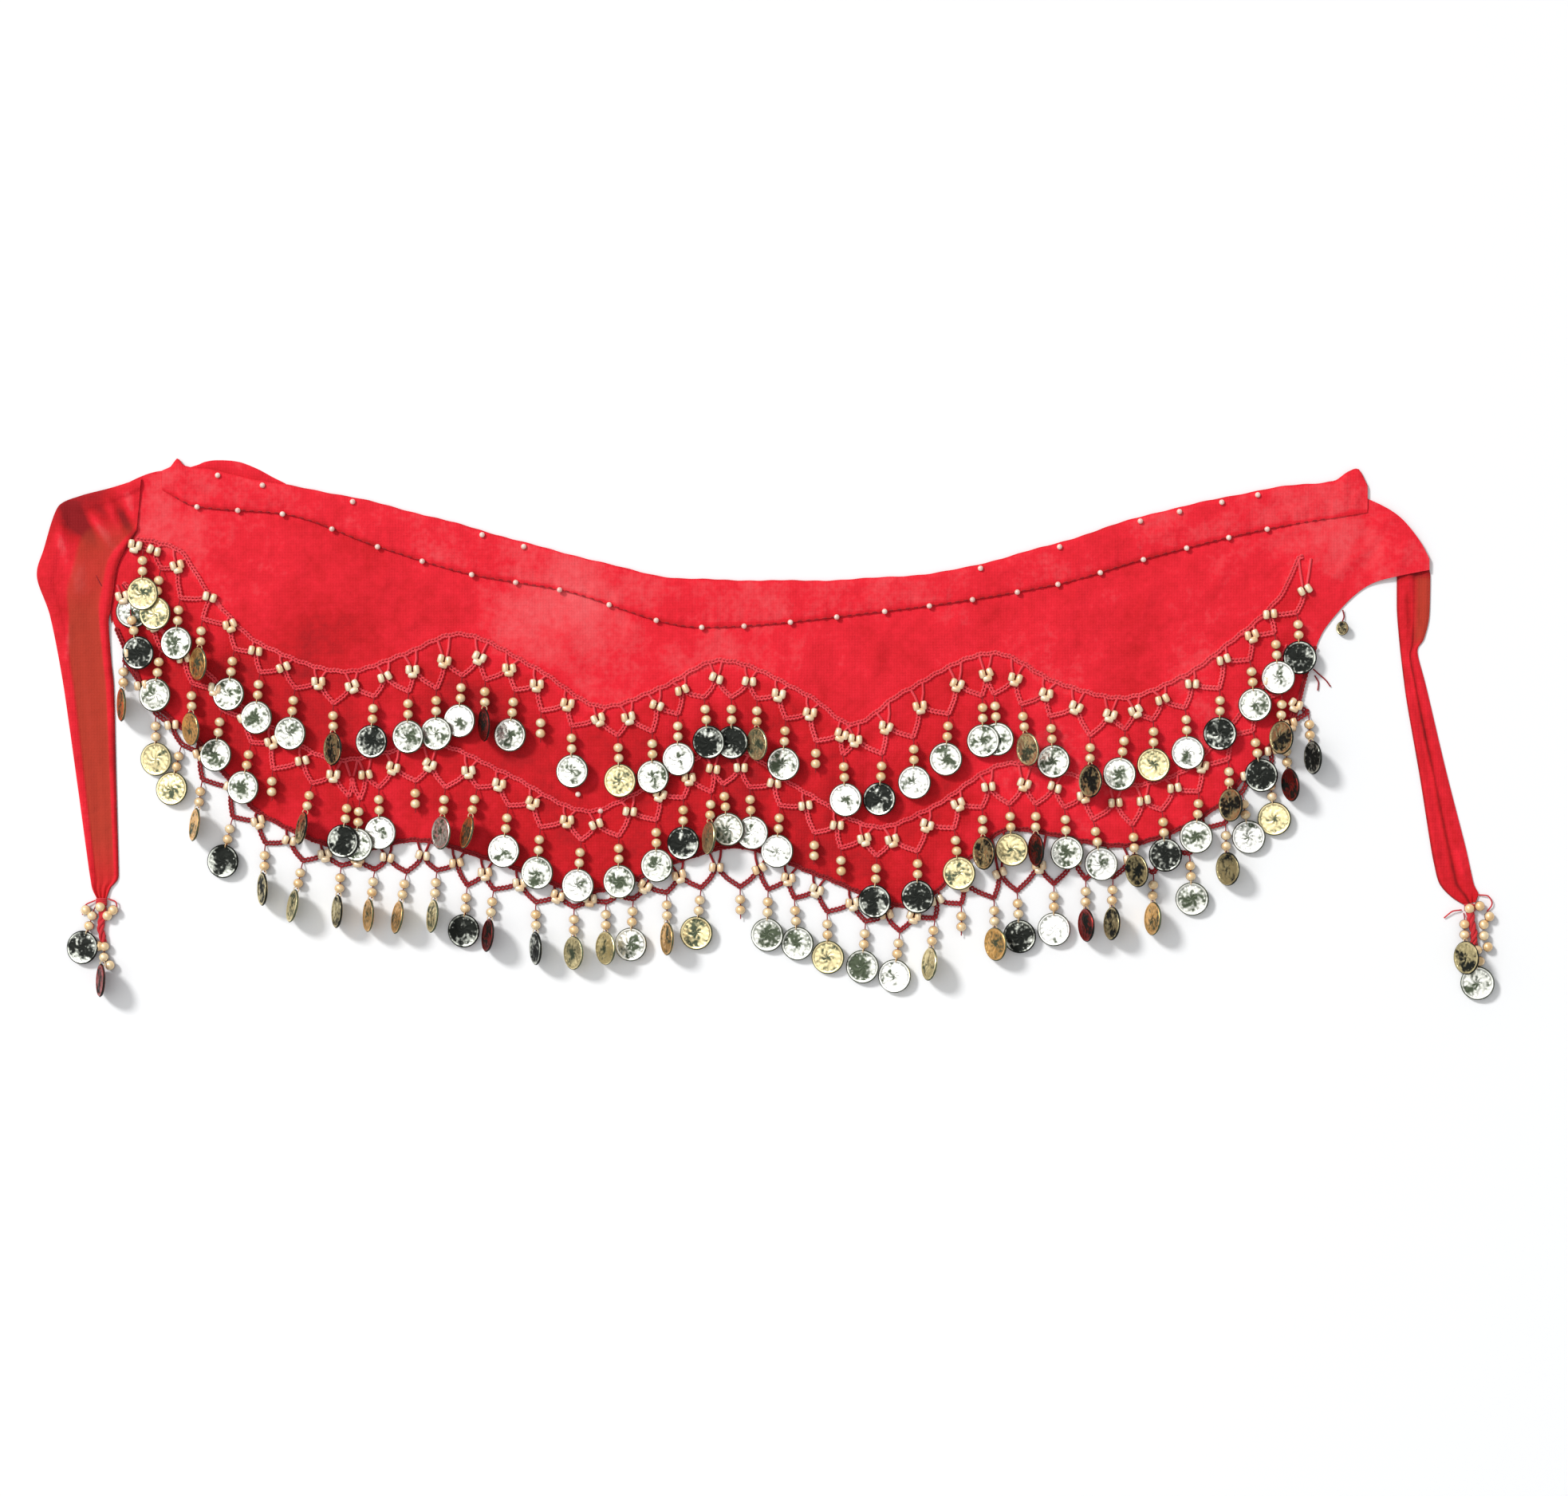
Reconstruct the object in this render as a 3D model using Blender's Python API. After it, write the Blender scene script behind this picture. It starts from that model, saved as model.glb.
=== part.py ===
"""Coin hip scarf for belly dance, laid out flat on a surface, in its own frame: X along the scarf,
Y from the coins up to the waist edge, Z up from the surface. The tables are in millimetres."""

import bisect
import math

import bmesh
import bpy

MM = 0.001

# Cloth, and how far apart the pieces lie
CLOTH = 1.2
SEAM_GAP = 0.3
LAID_GAP = 0.4
CASING = 1.5
TUCK = 2.4

# Coins, beads and the crochet net that carries them
COIN_RADIUS = 10.5
COIN_THICK = 1.2
BEAD_RADIUS = 3.0
BEAD_HEIGHT = 4.5
NECK_HALF = 0.9
BARE_TAIL = 3.4
NET_THICK = 1.2
CHAIN_WIDTH = 2.0
BRAID_WIDTH = 3.0
END_REACH = 5.0
BEAD_1_DROP = 6.8
BEAD_2_DROP = 13.4
COIN_DROP = 27.5
COIN_LIFT = 0.5
OVER_NET = 1.7
FLOOR_CLEAR = 0.3
KNOT_THICK = 2.4
TURN = {"face": 14.0, "oval": 52.0, "edge": 67.0}
# One letter for each coin of a row: f lies on its face, o is half turned, e stands nearly on edge,
# and n has lost its coin and keeps its two beads.
LOOK = {"f": "face", "o": "oval", "e": "edge", "n": "none"}
# Where each drop of a row hangs from the net, how far it sways in degrees, and the letter of its coin
DROPS_1 = (
    (-389.5, 113.5, 0, "f"), (-378.5, 101, -7, "f"), (-366.5, 82.5, -4, "f"), (-352.5, 69.5, -3, "o"),
    (-332.5, 50.5, -7, "f"), (-316.5, 36, -4, "f"), (-294.5, 26, -6, "f"), (-270.5, 16.5, 1, "o"),
    (-245, 21, -3, "f"), (-223.5, 24, 0, "f"), (-206, 26, 0, "f"), (-190, 34, -3, "f"),
    (-175.5, 31.5, 0, "e"), (-157, 25, -6, "f"), (-140.5, 12, -1, "n"), (-121.5, 2.5, 1, "f"),
    (-92.5, -3.5, 3, "f"), (-71, -1, 1, "f"), (-55, 10, 1, "f"), (-38.5, 20.5, 6, "f"),
    (-21.5, 20.5, 1, "f"), (-5.5, 19.5, 0, "o"), (12.5, 7, -3, "f"), (31.5, -7, -1, "n"),
    (48.5, -15.5, 3, "f"), (73, -15, -4, "f"), (92.5, -4.5, 1, "f"), (114.5, 10, -4, "f"),
    (135.5, 21.5, 1, "f"), (143, 22.5, 4, "f"), (160, 16, 7, "o"), (178, 8.5, 4, "f"),
    (203, -3.5, -1, "o"), (225, 0.5, -8, "f"), (242.5, 6.5, 0, "f"), (262.5, 14, 3, "f"),
    (284, 26, 0, "f"), (303, 44, 6, "f"), (318.5, 61, 4, "f"), (332.5, 73.5, 3, "f"),
)
DROPS_2 = (
    (-397.5, 76, 11, "f"), (-378.5, 50, -7, "f"), (-359, 29, 1, "o"), (-340.5, 12.5, -7, "f"),
    (-322, -8, -10, "f"), (-308.5, -24.5, -1, "n"), (-284, -33.5, -11, "e"), (-261, -41.5, -7, "f"),
    (-254, -43.5, -3, "f"), (-242, -36, 2, "f"), (-219, -32, 0, "n"), (-200.5, -36, -4, "o"),
    (-180.5, -36, -12, "e"), (-161, -47.5, -6, "f"), (-141, -61, -4, "f"), (-115.5, -69, -4, "f"),
    (-92, -66.5, 1, "f"), (-68.5, -56.5, 1, "f"), (-51.5, -42.5, 0, "f"), (-34, -39, -3, "e"),
    (-26.5, -34, 6, "f"), (-10, -36, 3, "f"), (9, -47.5, -4, "f"), (30.5, -64.5, -1, "n"),
    (47, -74, 1, "n"), (69.5, -79, -3, "f"), (95, -76, 0, "f"), (118, -61.5, 6, "f"),
    (135.5, -48.5, 1, "o"), (152.5, -46.5, 3, "f"), (169, -46.5, -1, "e"), (187, -48.5, 3, "f"),
    (205, -56, 10, "f"), (229.5, -59.5, 4, "o"), (248, -50, 4, "f"), (271, -38.5, -4, "f"),
    (289.5, -18.5, 1, "o"), (305, -0.5, 10, "f"), (323, 23.5, -3, "o"),
)
DROPS_3 = (
    (-402, 44, 0, "e"), (-382, 10, 1, "f"), (-366, -9, -12, "f"), (-353, -31, -7, "e"),
    (-334, -54.5, -12, "f"), (-313.5, -71, -1, "e"), (-290, -82, -11, "e"), (-266, -85, -3, "e"),
    (-245, -87.5, -6, "e"), (-225, -89, -10, "e"), (-206, -88, -4, "e"), (-187, -97.5, -4, "f"),
    (-170.5, -100, -6, "e"), (-144, -108, 1, "e"), (-120, -111, 0, "o"), (-100, -108, 0, "o"),
    (-83, -106, -3, "f"), (-62, -102, 1, "e"), (-40.5, -99, -6, "f"), (-16, -98.5, 1, "n"),
    (1.5, -100, -1, "f"), (18, -105.5, 4, "f"), (38.5, -114, 1, "f"), (62.5, -120, -4, "f"),
    (84, -126, -7, "f"), (106, -118, -8, "e"), (122.5, -109, 0, "n"), (143, -105.5, 1, "o"),
    (157.5, -101, 3, "f"), (180.5, -96.5, 0, "f"), (200.5, -93.5, -1, "e"), (217.5, -92.5, -3, "e"),
    (243, -89.5, -3, "e"), (265.5, -77.5, 3, "f"), (288, -58.5, 1, "o"), (298.5, -39, 8, "f"),
    (315.5, -27.5, 6, "f"), (325.5, -6, 4, "e"), (340, 11, 3, "e"),
)

# The waist edge of the cloth, from the left shoulder to the right one: x, y
WAIST_EDGE = (
    (-426, 137.5),
    (-405, 152),
    (-380, 162),
    (-359.5, 163.5),
    (-315, 155.5),
    (-262.5, 146),
    (-196, 129.5),
    (-124.5, 110),
    (-46, 94),
    (21, 93),
    (99, 97),
    (170, 113),
    (254.5, 138),
    (353, 154),
    (376.5, 145),
    (395.5, 134.5),
    (410, 117.5),
    (415.5, 107),
)
# The scalloped hem: x, y
HEM = (
    (-426, 92.5),
    (-411, 72.5),
    (-405, 57.5),
    (-390, 23.5),
    (-352.5, -12.5),
    (-315, -55),
    (-255, -76.5),
    (-220, -70.5),
    (-173, -82.5),
    (-110, -102.5),
    (-48.5, -81.5),
    (-20, -74.5),
    (33, -92.5),
    (90, -112),
    (132, -78),
    (152.5, -63.5),
    (222.5, -74),
    (254.5, -65.5),
    (284, -48.5),
    (308.5, -19),
    (330.5, 5.5),
    (340.5, 40),
    (350.5, 63.5),
    (381, 92),
    (395.5, 96),
    (415.5, 100),
)
# The stitching along the lower edge of the waist casing: x, y
STITCHING = (
    (-378, 150),
    (-356, 139.5),
    (-302.5, 135),
    (-243, 114.5),
    (-184, 97),
    (-129, 87.5),
    (-40, 64),
    (74.5, 74),
    (183, 91),
    (236.5, 106.5),
    (314, 125.5),
    (377, 136),
)
# How far the casing stands past the waist edge, at its two pinched corners: x, rise
CASING_RISE = (
    (-378, 0.4),
    (-373, 2),
    (-368.5, 7),
    (-364, 2),
    (-358, 0.4),
    (340, 0.4),
    (355, 2),
    (365, 11),
    (371.5, 15.5),
    (377, 8),
)
# The edge turned up behind the casing: x, rise past the waist edge
TURNED_RISE = (
    (-356, 2),
    (-351, 5),
    (-344, 7),
    (-329.5, 9),
    (-319.5, 7.5),
    (-308.5, 3.7),
    (-301, 1.3),
)
# The braid at the head of each sewn coin row: x, y
BRAID_1 = (
    (-388, 117.5),
    (-369, 112),
    (-349.5, 85),
    (-316, 52),
    (-262.5, 35),
    (-227.5, 45.5),
    (-192.5, 58.5),
    (-144, 37),
    (-101.5, 13),
    (-66.5, 24.5),
    (-28.5, 42),
    (27.5, 19.5),
    (54, 2),
    (85, 21.5),
    (143, 46.5),
    (184, 27.5),
    (222.5, 18.5),
    (262, 32.5),
    (286.5, 50),
    (323.5, 84),
    (333.5, 106.5),
)
BRAID_2 = (
    (-401, 90),
    (-378.5, 61),
    (-358, 42.5),
    (-327, 12),
    (-309.5, 0),
    (-267, -20.5),
    (-208, -11),
    (-164.5, -28),
    (-110, -52.5),
    (-81.5, -41.5),
    (-23.5, -13.5),
    (23.5, -40),
    (71.5, -62.5),
    (101.5, -51.5),
    (154, -22.5),
    (228, -36.5),
    (257.5, -29.5),
    (297, 8),
    (322, 42),
    (335, 66),
)
# Soft folds in the open field of the cloth, each lying the way it was dropped
FOLDS = (
    {"x": -338, "y": 112, "lean": 38, "length": 80, "width": 13, "height": 1.0},
    {"x": -262, "y": 84, "lean": 12, "length": 70, "width": 16, "height": 1.2},
    {"x": -205, "y": 78, "lean": -24, "length": 46, "width": 15, "height": 0.8},
    {"x": -124, "y": 52, "lean": 30, "length": 52, "width": 18, "height": 1.2},
    {"x": -52, "y": 54, "lean": -14, "length": 40, "width": 14, "height": 0.8},
    {"x": 20, "y": 40, "lean": 20, "length": 44, "width": 18, "height": 1.0},
    {"x": 104, "y": 56, "lean": -30, "length": 52, "width": 15, "height": 0.9},
    {"x": 186, "y": 62, "lean": 8, "length": 60, "width": 17, "height": 1.2},
    {"x": 262, "y": 84, "lean": -22, "length": 66, "width": 16, "height": 1.0},
    {"x": 350, "y": 112, "lean": -68, "length": 66, "width": 13, "height": 1.4},
)

# The ties, section by section: the outer edge, the inner edge, and how high the cloth lies
TIE_LEFT = (
    {"outer": (-391, 157.5), "inner": (-394, 123.5), "lift": 1.6},
    {"outer": (-410, 151.5), "inner": (-401, 112.5), "lift": 1.6},
    {"outer": (-429, 146.5), "inner": (-405, 105), "lift": 1.6},
    {"outer": (-442, 141), "inner": (-407, 97.5), "lift": 1.6},
    {"outer": (-452, 113.5), "inner": (-408.5, 86.5), "lift": 1.6},
    {"outer": (-456.5, 97), "inner": (-410, 76.5), "lift": 1.6},
    {"outer": (-448.5, 72), "inner": (-411.5, 66), "lift": 1.0},
    {"outer": (-442.5, 42), "inner": (-410, 42.5), "lift": 0.0},
    {"outer": (-440, 27.5), "inner": (-408.5, 27.5), "lift": 0.0},
    {"outer": (-431.5, -32.5), "inner": (-407, -32.5), "lift": 0.0},
    {"outer": (-423.5, -91), "inner": (-405.5, -91), "lift": 0.0},
    {"outer": (-422, -99.5), "inner": (-410.5, -99.5), "lift": 0.0},
    {"outer": (-419, -106), "inner": (-413, -106), "lift": 0.0},
)
TIE_RIGHT = (
    {"outer": (412, 110.5), "inner": (397, 108), "lift": 0.0},
    {"outer": (416.5, 96), "inner": (395.5, 94.5), "lift": 0.0},
    {"outer": (416, 73), "inner": (395.5, 78), "lift": 0.0},
    {"outer": (412.5, 57), "inner": (397.5, 51.5), "lift": 0.0},
    {"outer": (408.5, 49), "inner": (398.5, 42.5), "lift": 0.0},
    {"outer": (414, 26.5), "inner": (401, 22.5), "lift": 0.0},
    {"outer": (426.5, -26.5), "inner": (410, -30), "lift": 0.0},
    {"outer": (439, -75.5), "inner": (418.5, -82.5), "lift": 0.0},
    {"outer": (444, -97.5), "inner": (422, -96), "lift": 0.0},
    {"outer": (446.5, -103), "inner": (430.5, -105.5), "lift": 0.0},
    {"outer": (445, -108), "inner": (437, -109.5), "lift": 0.0},
)
# The tassels at the ends of the ties: the knotted head, and its drops as reach, heading and look
TASSEL_LEFT = {
    "left": -421,
    "right": -411,
    "top": -106.4,
    "foot": -109,
    "drops": ((1, -17, "face"), (20, -2.8, "edge")),
}
TASSEL_RIGHT = {
    "left": 435.5,
    "right": 447.5,
    "top": -110,
    "foot": -113,
    "drops": ((2, 0, "oval"), (18.2, 0, "face")),
}
# Across a tie, from the outer edge: the share of its width, and the thickness there
FOLDED_BOTH_EDGES = ((0, 1.2), (0.12, 1.9), (0.3, 1.8), (0.42, 1.1), (0.8, 1.1), (0.9, 1.8), (1, 1.2))
FOLDED_INNER_EDGE = ((0, 1.2), (0.1, 1.5), (0.45, 1.1), (0.6, 1.9), (0.88, 1.9), (1, 1.2))


def line_through(table):
    """A smooth height for any x, through a table of x, y, that never swings past its points."""
    xs, ys = zip(*table)
    steps = [(y2 - y1) / (x2 - x1) for x1, x2, y1, y2 in zip(xs, xs[1:], ys, ys[1:])]
    inner = [0 if a * b <= 0 else 2 * a * b / (a + b) for a, b in zip(steps, steps[1:])]
    slopes = [steps[0], *inner, steps[-1]]

    def height(x):
        i = min(max(bisect.bisect_right(xs, x) - 1, 0), len(xs) - 2)
        span = xs[i + 1] - xs[i]
        t = min(max((x - xs[i]) / span, 0), 1)
        ease = t * t * (3 - 2 * t)
        bend = slopes[i] * t * (1 - t) ** 2 - slopes[i + 1] * t * t * (1 - t)
        return ys[i] + (ys[i + 1] - ys[i]) * ease + span * bend

    return height


waist_edge, hem, stitching = line_through(WAIST_EDGE), line_through(HEM), line_through(STITCHING)
casing_rise, turned_rise = line_through(CASING_RISE), line_through(TURNED_RISE)
braid_1, braid_2 = line_through(BRAID_1), line_through(BRAID_2)
tuck_lift = line_through(((376, 0), (394, TUCK), (416, TUCK)))


def fold_height(x, y):
    """How high the soft folds stand at a place on the cloth."""
    total = 0
    for fold in FOLDS:
        lean = math.radians(fold["lean"])
        dx, dy = x - fold["x"], y - fold["y"]
        along = (dy * math.cos(lean) - dx * math.sin(lean)) / (fold["length"] / 2)
        across = (dx * math.cos(lean) + dy * math.sin(lean)) / fold["width"]
        if abs(along) < 1:
            total += fold["height"] * math.exp(-across * across) * (1 - along * along) ** 2
    return total


def cloth_top(x, y):
    return tuck_lift(x) + CLOTH + fold_height(x, y)


def on_cloth(x, y):
    return cloth_top(x, y) + LAID_GAP


def on_floor(x, y):
    return FLOOR_CLEAR


def material(name, colour, roughness, metallic=0.0):
    made = bpy.data.materials.new(name)
    made.use_nodes = True
    shader = made.node_tree.nodes["Principled BSDF"]
    shader.inputs["Base Color"].default_value = (*colour, 1)
    shader.inputs["Roughness"].default_value = roughness
    shader.inputs["Metallic"].default_value = metallic
    return made


def laid_solid(name, points, faces, finish):
    """A closed solid from its plan: points are x, y, underside, top, and faces run anticlockwise from above."""
    mesh = bmesh.new()
    under = [mesh.verts.new((x * MM, y * MM, low * MM)) for x, y, low, _ in points]
    over = [mesh.verts.new((x * MM, y * MM, high * MM)) for x, y, _, high in points]
    edges = {(a, b) for face in faces for a, b in zip(face, face[1:] + face[:1])}
    for face in faces:
        mesh.faces.new([over[i] for i in face])
        mesh.faces.new([under[i] for i in reversed(face)])
    for a, b in sorted(edges):
        if (b, a) not in edges:
            mesh.faces.new((under[a], under[b], over[b], over[a]))
    data = bpy.data.meshes.new(name)
    mesh.to_mesh(data)
    mesh.free()
    data.materials.append(finish)
    obj = bpy.data.objects.new(name, data)
    bpy.context.scene.collection.objects.link(obj)
    return obj


def grid_faces(columns, rows):
    """The faces of a grid whose points run down each column, column after column to the right."""
    faces = []
    for i in range(columns):
        for j in range(rows):
            a = i * (rows + 1) + j
            b = a + rows + 1
            faces.append((a, a + 1, b + 1, b))
    return faces


def spread(first, last, count):
    return [first + (last - first) * i / count for i in range(count + 1)]


def build_panel(finish, columns=64, rows=5):
    """The chiffon panel: a scalloped crescent that lies flat on its underside."""
    points = []
    for x in spread(WAIST_EDGE[0][0], WAIST_EDGE[-1][0], columns):
        for y in spread(waist_edge(x), hem(x), rows):
            points.append((x, y, tuck_lift(x), cloth_top(x, y)))
    return laid_solid("scarf_panel", points, grid_faces(columns, rows), finish)


def build_casing(finish, columns=54):
    """The waist casing: the cloth's edge turned over and stitched down, soft between edge and stitching."""
    across = ((0, 0.6), (0.3, 1.0), (0.75, 0.9), (1, 0.5))
    corners = [x for x, _ in CASING_RISE]
    stations = sorted(corners + spread(-352, 334, columns))
    points = []
    for x in stations:
        top, foot = waist_edge(x) + casing_rise(x), stitching(x)
        for share, thick in across:
            y = top + (foot - top) * share
            low = cloth_top(x, min(y, waist_edge(x))) + LAID_GAP
            points.append((x, y, low, low + CASING * thick))
    faces = grid_faces(len(stations) - 1, len(across) - 1)
    return laid_solid("waist_casing", points, faces, finish)


def build_turned_edge(finish, columns=12):
    """The edge of the cloth that is turned up behind the casing, on the left."""
    points = []
    for x in spread(TURNED_RISE[0][0], TURNED_RISE[-1][0], columns):
        foot = waist_edge(x) + SEAM_GAP
        top = waist_edge(x) + turned_rise(x)
        points.append((x, top, 0, CLOTH))
        points.append((x, foot, 0, CLOTH))
    return laid_solid("turned_edge", points, grid_faces(columns, 1), finish)


def build_tie(name, sections, profile, finish):
    """A tie: a strip of the same cloth with its edges folded in, narrowing to its tassel."""
    points = []
    for section in sections:
        (x1, y1), (x2, y2) = section["outer"], section["inner"]
        for share, thick in profile:
            x, y = x1 + (x2 - x1) * share, y1 + (y2 - y1) * share
            points.append((x, y, section["lift"], section["lift"] + thick))
    faces = grid_faces(len(sections) - 1, len(profile) - 1)
    if sections[-1]["outer"][0] < sections[-1]["inner"][0]:
        faces = [tuple(reversed(face)) for face in faces]
    return laid_solid(name, points, faces, finish)


def add_drop(points, faces, root, place, heading, look, base):
    """Two round beads and a coin on one thread, growing out of the two root points.
    place is the root's middle, heading the way the thread runs, base the height that it lies at."""
    ahead = (math.sin(math.radians(heading)), -math.cos(math.radians(heading)))
    aside = (-ahead[1], ahead[0])
    bead_top = base + BEAD_HEIGHT
    thread_top = base + NET_THICK
    flat = COIN_RADIUS * math.tan(math.pi / 8)
    sections = [
        (BEAD_1_DROP, BEAD_RADIUS, 0, base, bead_top),
        ((BEAD_1_DROP + BEAD_2_DROP) / 2, NECK_HALF, 0, base, thread_top),
        (BEAD_2_DROP, BEAD_RADIUS, 0, base, bead_top),
    ]
    if look == "none":
        sections.append((BEAD_2_DROP + BARE_TAIL, NECK_HALF, 0, base, thread_top))
    else:
        turn = math.radians(TURN[look])
        middle = base + COIN_LIFT + COIN_RADIUS * math.sin(turn)
        thick = COIN_THICK / math.cos(turn)
        octagon = ((-COIN_RADIUS, flat), (-flat, COIN_RADIUS), (flat, COIN_RADIUS), (COIN_RADIUS, flat))
        for step, half in octagon:
            rise = half * math.sin(turn)
            sections.append((COIN_DROP + step, half * math.cos(turn), rise, middle, middle + thick))
    before = root
    for along, half, rise, low, high in sections:
        x, y = place[0] + ahead[0] * along, place[1] + ahead[1] * along
        left = (x - aside[0] * half, y - aside[1] * half, low - rise, high - rise)
        right = (x + aside[0] * half, y + aside[1] * half, low + rise, high + rise)
        now = (len(points), len(points) + 1)
        points += [left, right]
        faces.append((before[0], now[0], now[1], before[1]))
        before = now


def build_coin_row(name, drops, head, foot_level, finish):
    """A coin row: a braid, a zigzag net of chain below it with real gaps, and a drop at each lower point."""
    places = [x for x, *_ in drops]
    points, faces = [], []
    ends = [places[0] - 2 * END_REACH, *places, places[-1] + 2 * END_REACH]
    half = CHAIN_WIDTH / 2

    def braid_pair(x):
        y = head(x)
        low = on_cloth(x, y)
        points.append((x, y + BRAID_WIDTH, low, low + NET_THICK))
        points.append((x, y, low, low + NET_THICK))
        return len(points) - 2

    before = braid_pair((ends[0] + ends[1]) / 2)
    for i, (x, y, sway, letter) in enumerate(drops):
        x_after = (ends[i + 1] + ends[i + 2]) / 2
        x_before = points[before][0]
        first_leg = braid_pair(x_before + CHAIN_WIDTH)
        second_leg = braid_pair(x_after - CHAIN_WIDTH)
        after = braid_pair(x_after)
        for a, b in ((before, first_leg), (first_leg, second_leg), (second_leg, after)):
            faces.append((a, a + 1, b + 1, b))
        low = foot_level(x, y)
        tip = len(points)
        for dx, dy in ((-half, half), (-half, -half), (half, -half), (half, half)):
            points.append((x + dx, y + dy, low, low + NET_THICK))
        faces.append((tip, tip + 1, tip + 2, tip + 3))
        faces.append((before + 1, tip + 1, tip, first_leg + 1))
        faces.append((second_leg + 1, tip + 3, tip + 2, after + 1))
        lifted = low + (OVER_NET if foot_level is on_cloth else 0)
        add_drop(points, faces, (tip + 1, tip + 2), (x, y - half), sway, LOOK[letter], lifted)
        before = after
    return laid_solid(name, points, faces, finish)


def build_tassel(name, tassel, finish):
    """An end tassel: a knotted head below the tie, with a few drops fanned out from it."""
    x1, x2, y1, y2 = tassel["left"], tassel["right"], tassel["top"], tassel["foot"]
    drops = tassel["drops"]
    count = len(drops)
    points, faces = [], []
    for i in range(2 * count):
        share = i / (2 * count - 1)
        points.append((x1 + (x2 - x1) * share, y1, FLOOR_CLEAR, FLOOR_CLEAR + KNOT_THICK))
        points.append((x1 + (x2 - x1) * share, y2, FLOOR_CLEAR, FLOOR_CLEAR + KNOT_THICK))
    for i in range(2 * count - 1):
        faces.append((2 * i, 2 * i + 1, 2 * i + 3, 2 * i + 2))
    for i, (reach, heading, look) in enumerate(drops):
        left, right = 4 * i + 1, 4 * i + 3
        place = ((points[left][0] + points[right][0]) / 2, y2)
        ahead = (math.sin(math.radians(heading)), -math.cos(math.radians(heading)))
        stem = (place[0] + ahead[0] * reach, place[1] + ahead[1] * reach)
        aside = (-ahead[1] * NECK_HALF, ahead[0] * NECK_HALF)
        joint = (len(points), len(points) + 1)
        points.append((stem[0] - aside[0], stem[1] - aside[1], FLOOR_CLEAR, FLOOR_CLEAR + NET_THICK))
        points.append((stem[0] + aside[0], stem[1] + aside[1], FLOOR_CLEAR, FLOOR_CLEAR + NET_THICK))
        faces.append((left, joint[0], joint[1], right))
        add_drop(points, faces, joint, stem, heading, look, FLOOR_CLEAR)
    return laid_solid(name, points, faces, finish)


for old in list(bpy.data.objects):
    bpy.data.objects.remove(old, do_unlink=True)

chiffon = material("red_chiffon", (0.78, 0.015, 0.035), 0.7)
deep_chiffon = material("deep_red_chiffon", (0.45, 0.005, 0.015), 0.75)
coin_gold = material("pale_gold_coin", (0.86, 0.76, 0.52), 0.3, 1.0)

build_panel(chiffon)
build_casing(chiffon)
build_turned_edge(deep_chiffon)
build_tie("tie_left", TIE_LEFT, FOLDED_BOTH_EDGES, chiffon)
build_tie("tie_right", TIE_RIGHT, FOLDED_INNER_EDGE, chiffon)

build_coin_row("coin_row_1", DROPS_1, braid_1, on_cloth, coin_gold)
build_coin_row("coin_row_2", DROPS_2, braid_2, on_cloth, coin_gold)
build_coin_row("coin_row_3", DROPS_3, hem, on_floor, coin_gold)

build_tassel("tassel_left", TASSEL_LEFT, coin_gold)
build_tassel("tassel_right", TASSEL_RIGHT, coin_gold)
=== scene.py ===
"""A coin hip scarf for belly dance, laid out on a pale floor and seen from straight above. The tables
give places in millimetres in the part's frame: X along the scarf, Y up to the waist edge, Z up."""

import math
import random

import bpy
import numpy as np
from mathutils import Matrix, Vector


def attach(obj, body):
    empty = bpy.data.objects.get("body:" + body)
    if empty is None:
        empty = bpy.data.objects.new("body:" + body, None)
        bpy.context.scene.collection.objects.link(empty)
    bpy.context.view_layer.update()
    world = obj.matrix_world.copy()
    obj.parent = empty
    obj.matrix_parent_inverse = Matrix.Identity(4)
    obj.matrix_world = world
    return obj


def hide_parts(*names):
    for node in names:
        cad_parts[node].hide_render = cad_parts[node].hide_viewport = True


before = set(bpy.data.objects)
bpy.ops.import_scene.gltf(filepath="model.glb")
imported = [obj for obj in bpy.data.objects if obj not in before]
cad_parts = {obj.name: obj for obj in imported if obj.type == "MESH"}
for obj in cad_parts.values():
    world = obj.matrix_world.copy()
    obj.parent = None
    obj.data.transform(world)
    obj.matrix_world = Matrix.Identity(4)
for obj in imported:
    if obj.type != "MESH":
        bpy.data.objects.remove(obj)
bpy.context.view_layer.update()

# The floor is a plain pale sheet that fills every view. A broad soft light hangs overhead, and a
# firmer one from the upper left models the folds. The camera looks straight down on the scarf.
MM = 0.001
PHOTO_WIDTH = 1966
PIXEL = 0.5
VIEW_CENTRE = (11.5, -11.5)
LENS = 85.0
SENSOR = 36.0
FLOOR_SIZE = 14.0
FLOOR_COLOUR = (0.93, 0.93, 0.93, 1)
WORLD_COLOUR = (0.96, 0.98, 1.0, 1)
WORLD_STRENGTH = 0.43
KEY_STRENGTH = 2.2
KEY_FROM = (-1.0, 0.9, 1.25)
KEY_SOFTNESS = 11
SOFTBOX = {"place": (-1.3, 0.3, 3.2), "size": 3.0, "watts": 34}

scene = bpy.context.scene
scene.view_settings.view_transform = "Standard"
scene.world = bpy.data.worlds.new("pale_room")
scene.world.use_nodes = True
room = scene.world.node_tree.nodes["Background"]
room.inputs["Color"].default_value = WORLD_COLOUR
room.inputs["Strength"].default_value = WORLD_STRENGTH


def finish_with(name, even):
    """A material, with what is the same all over it set on the shader's own sockets."""
    material = bpy.data.materials.new(name)
    material.use_nodes = True
    shader = material.node_tree.nodes["Principled BSDF"]
    for socket, value in even.items():
        shader.inputs[socket].default_value = value
    return material, shader


def added(name, data):
    """An object in the scene for a mesh, a light or a camera."""
    made = bpy.data.objects.new(name, data)
    scene.collection.objects.link(made)
    return made


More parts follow.
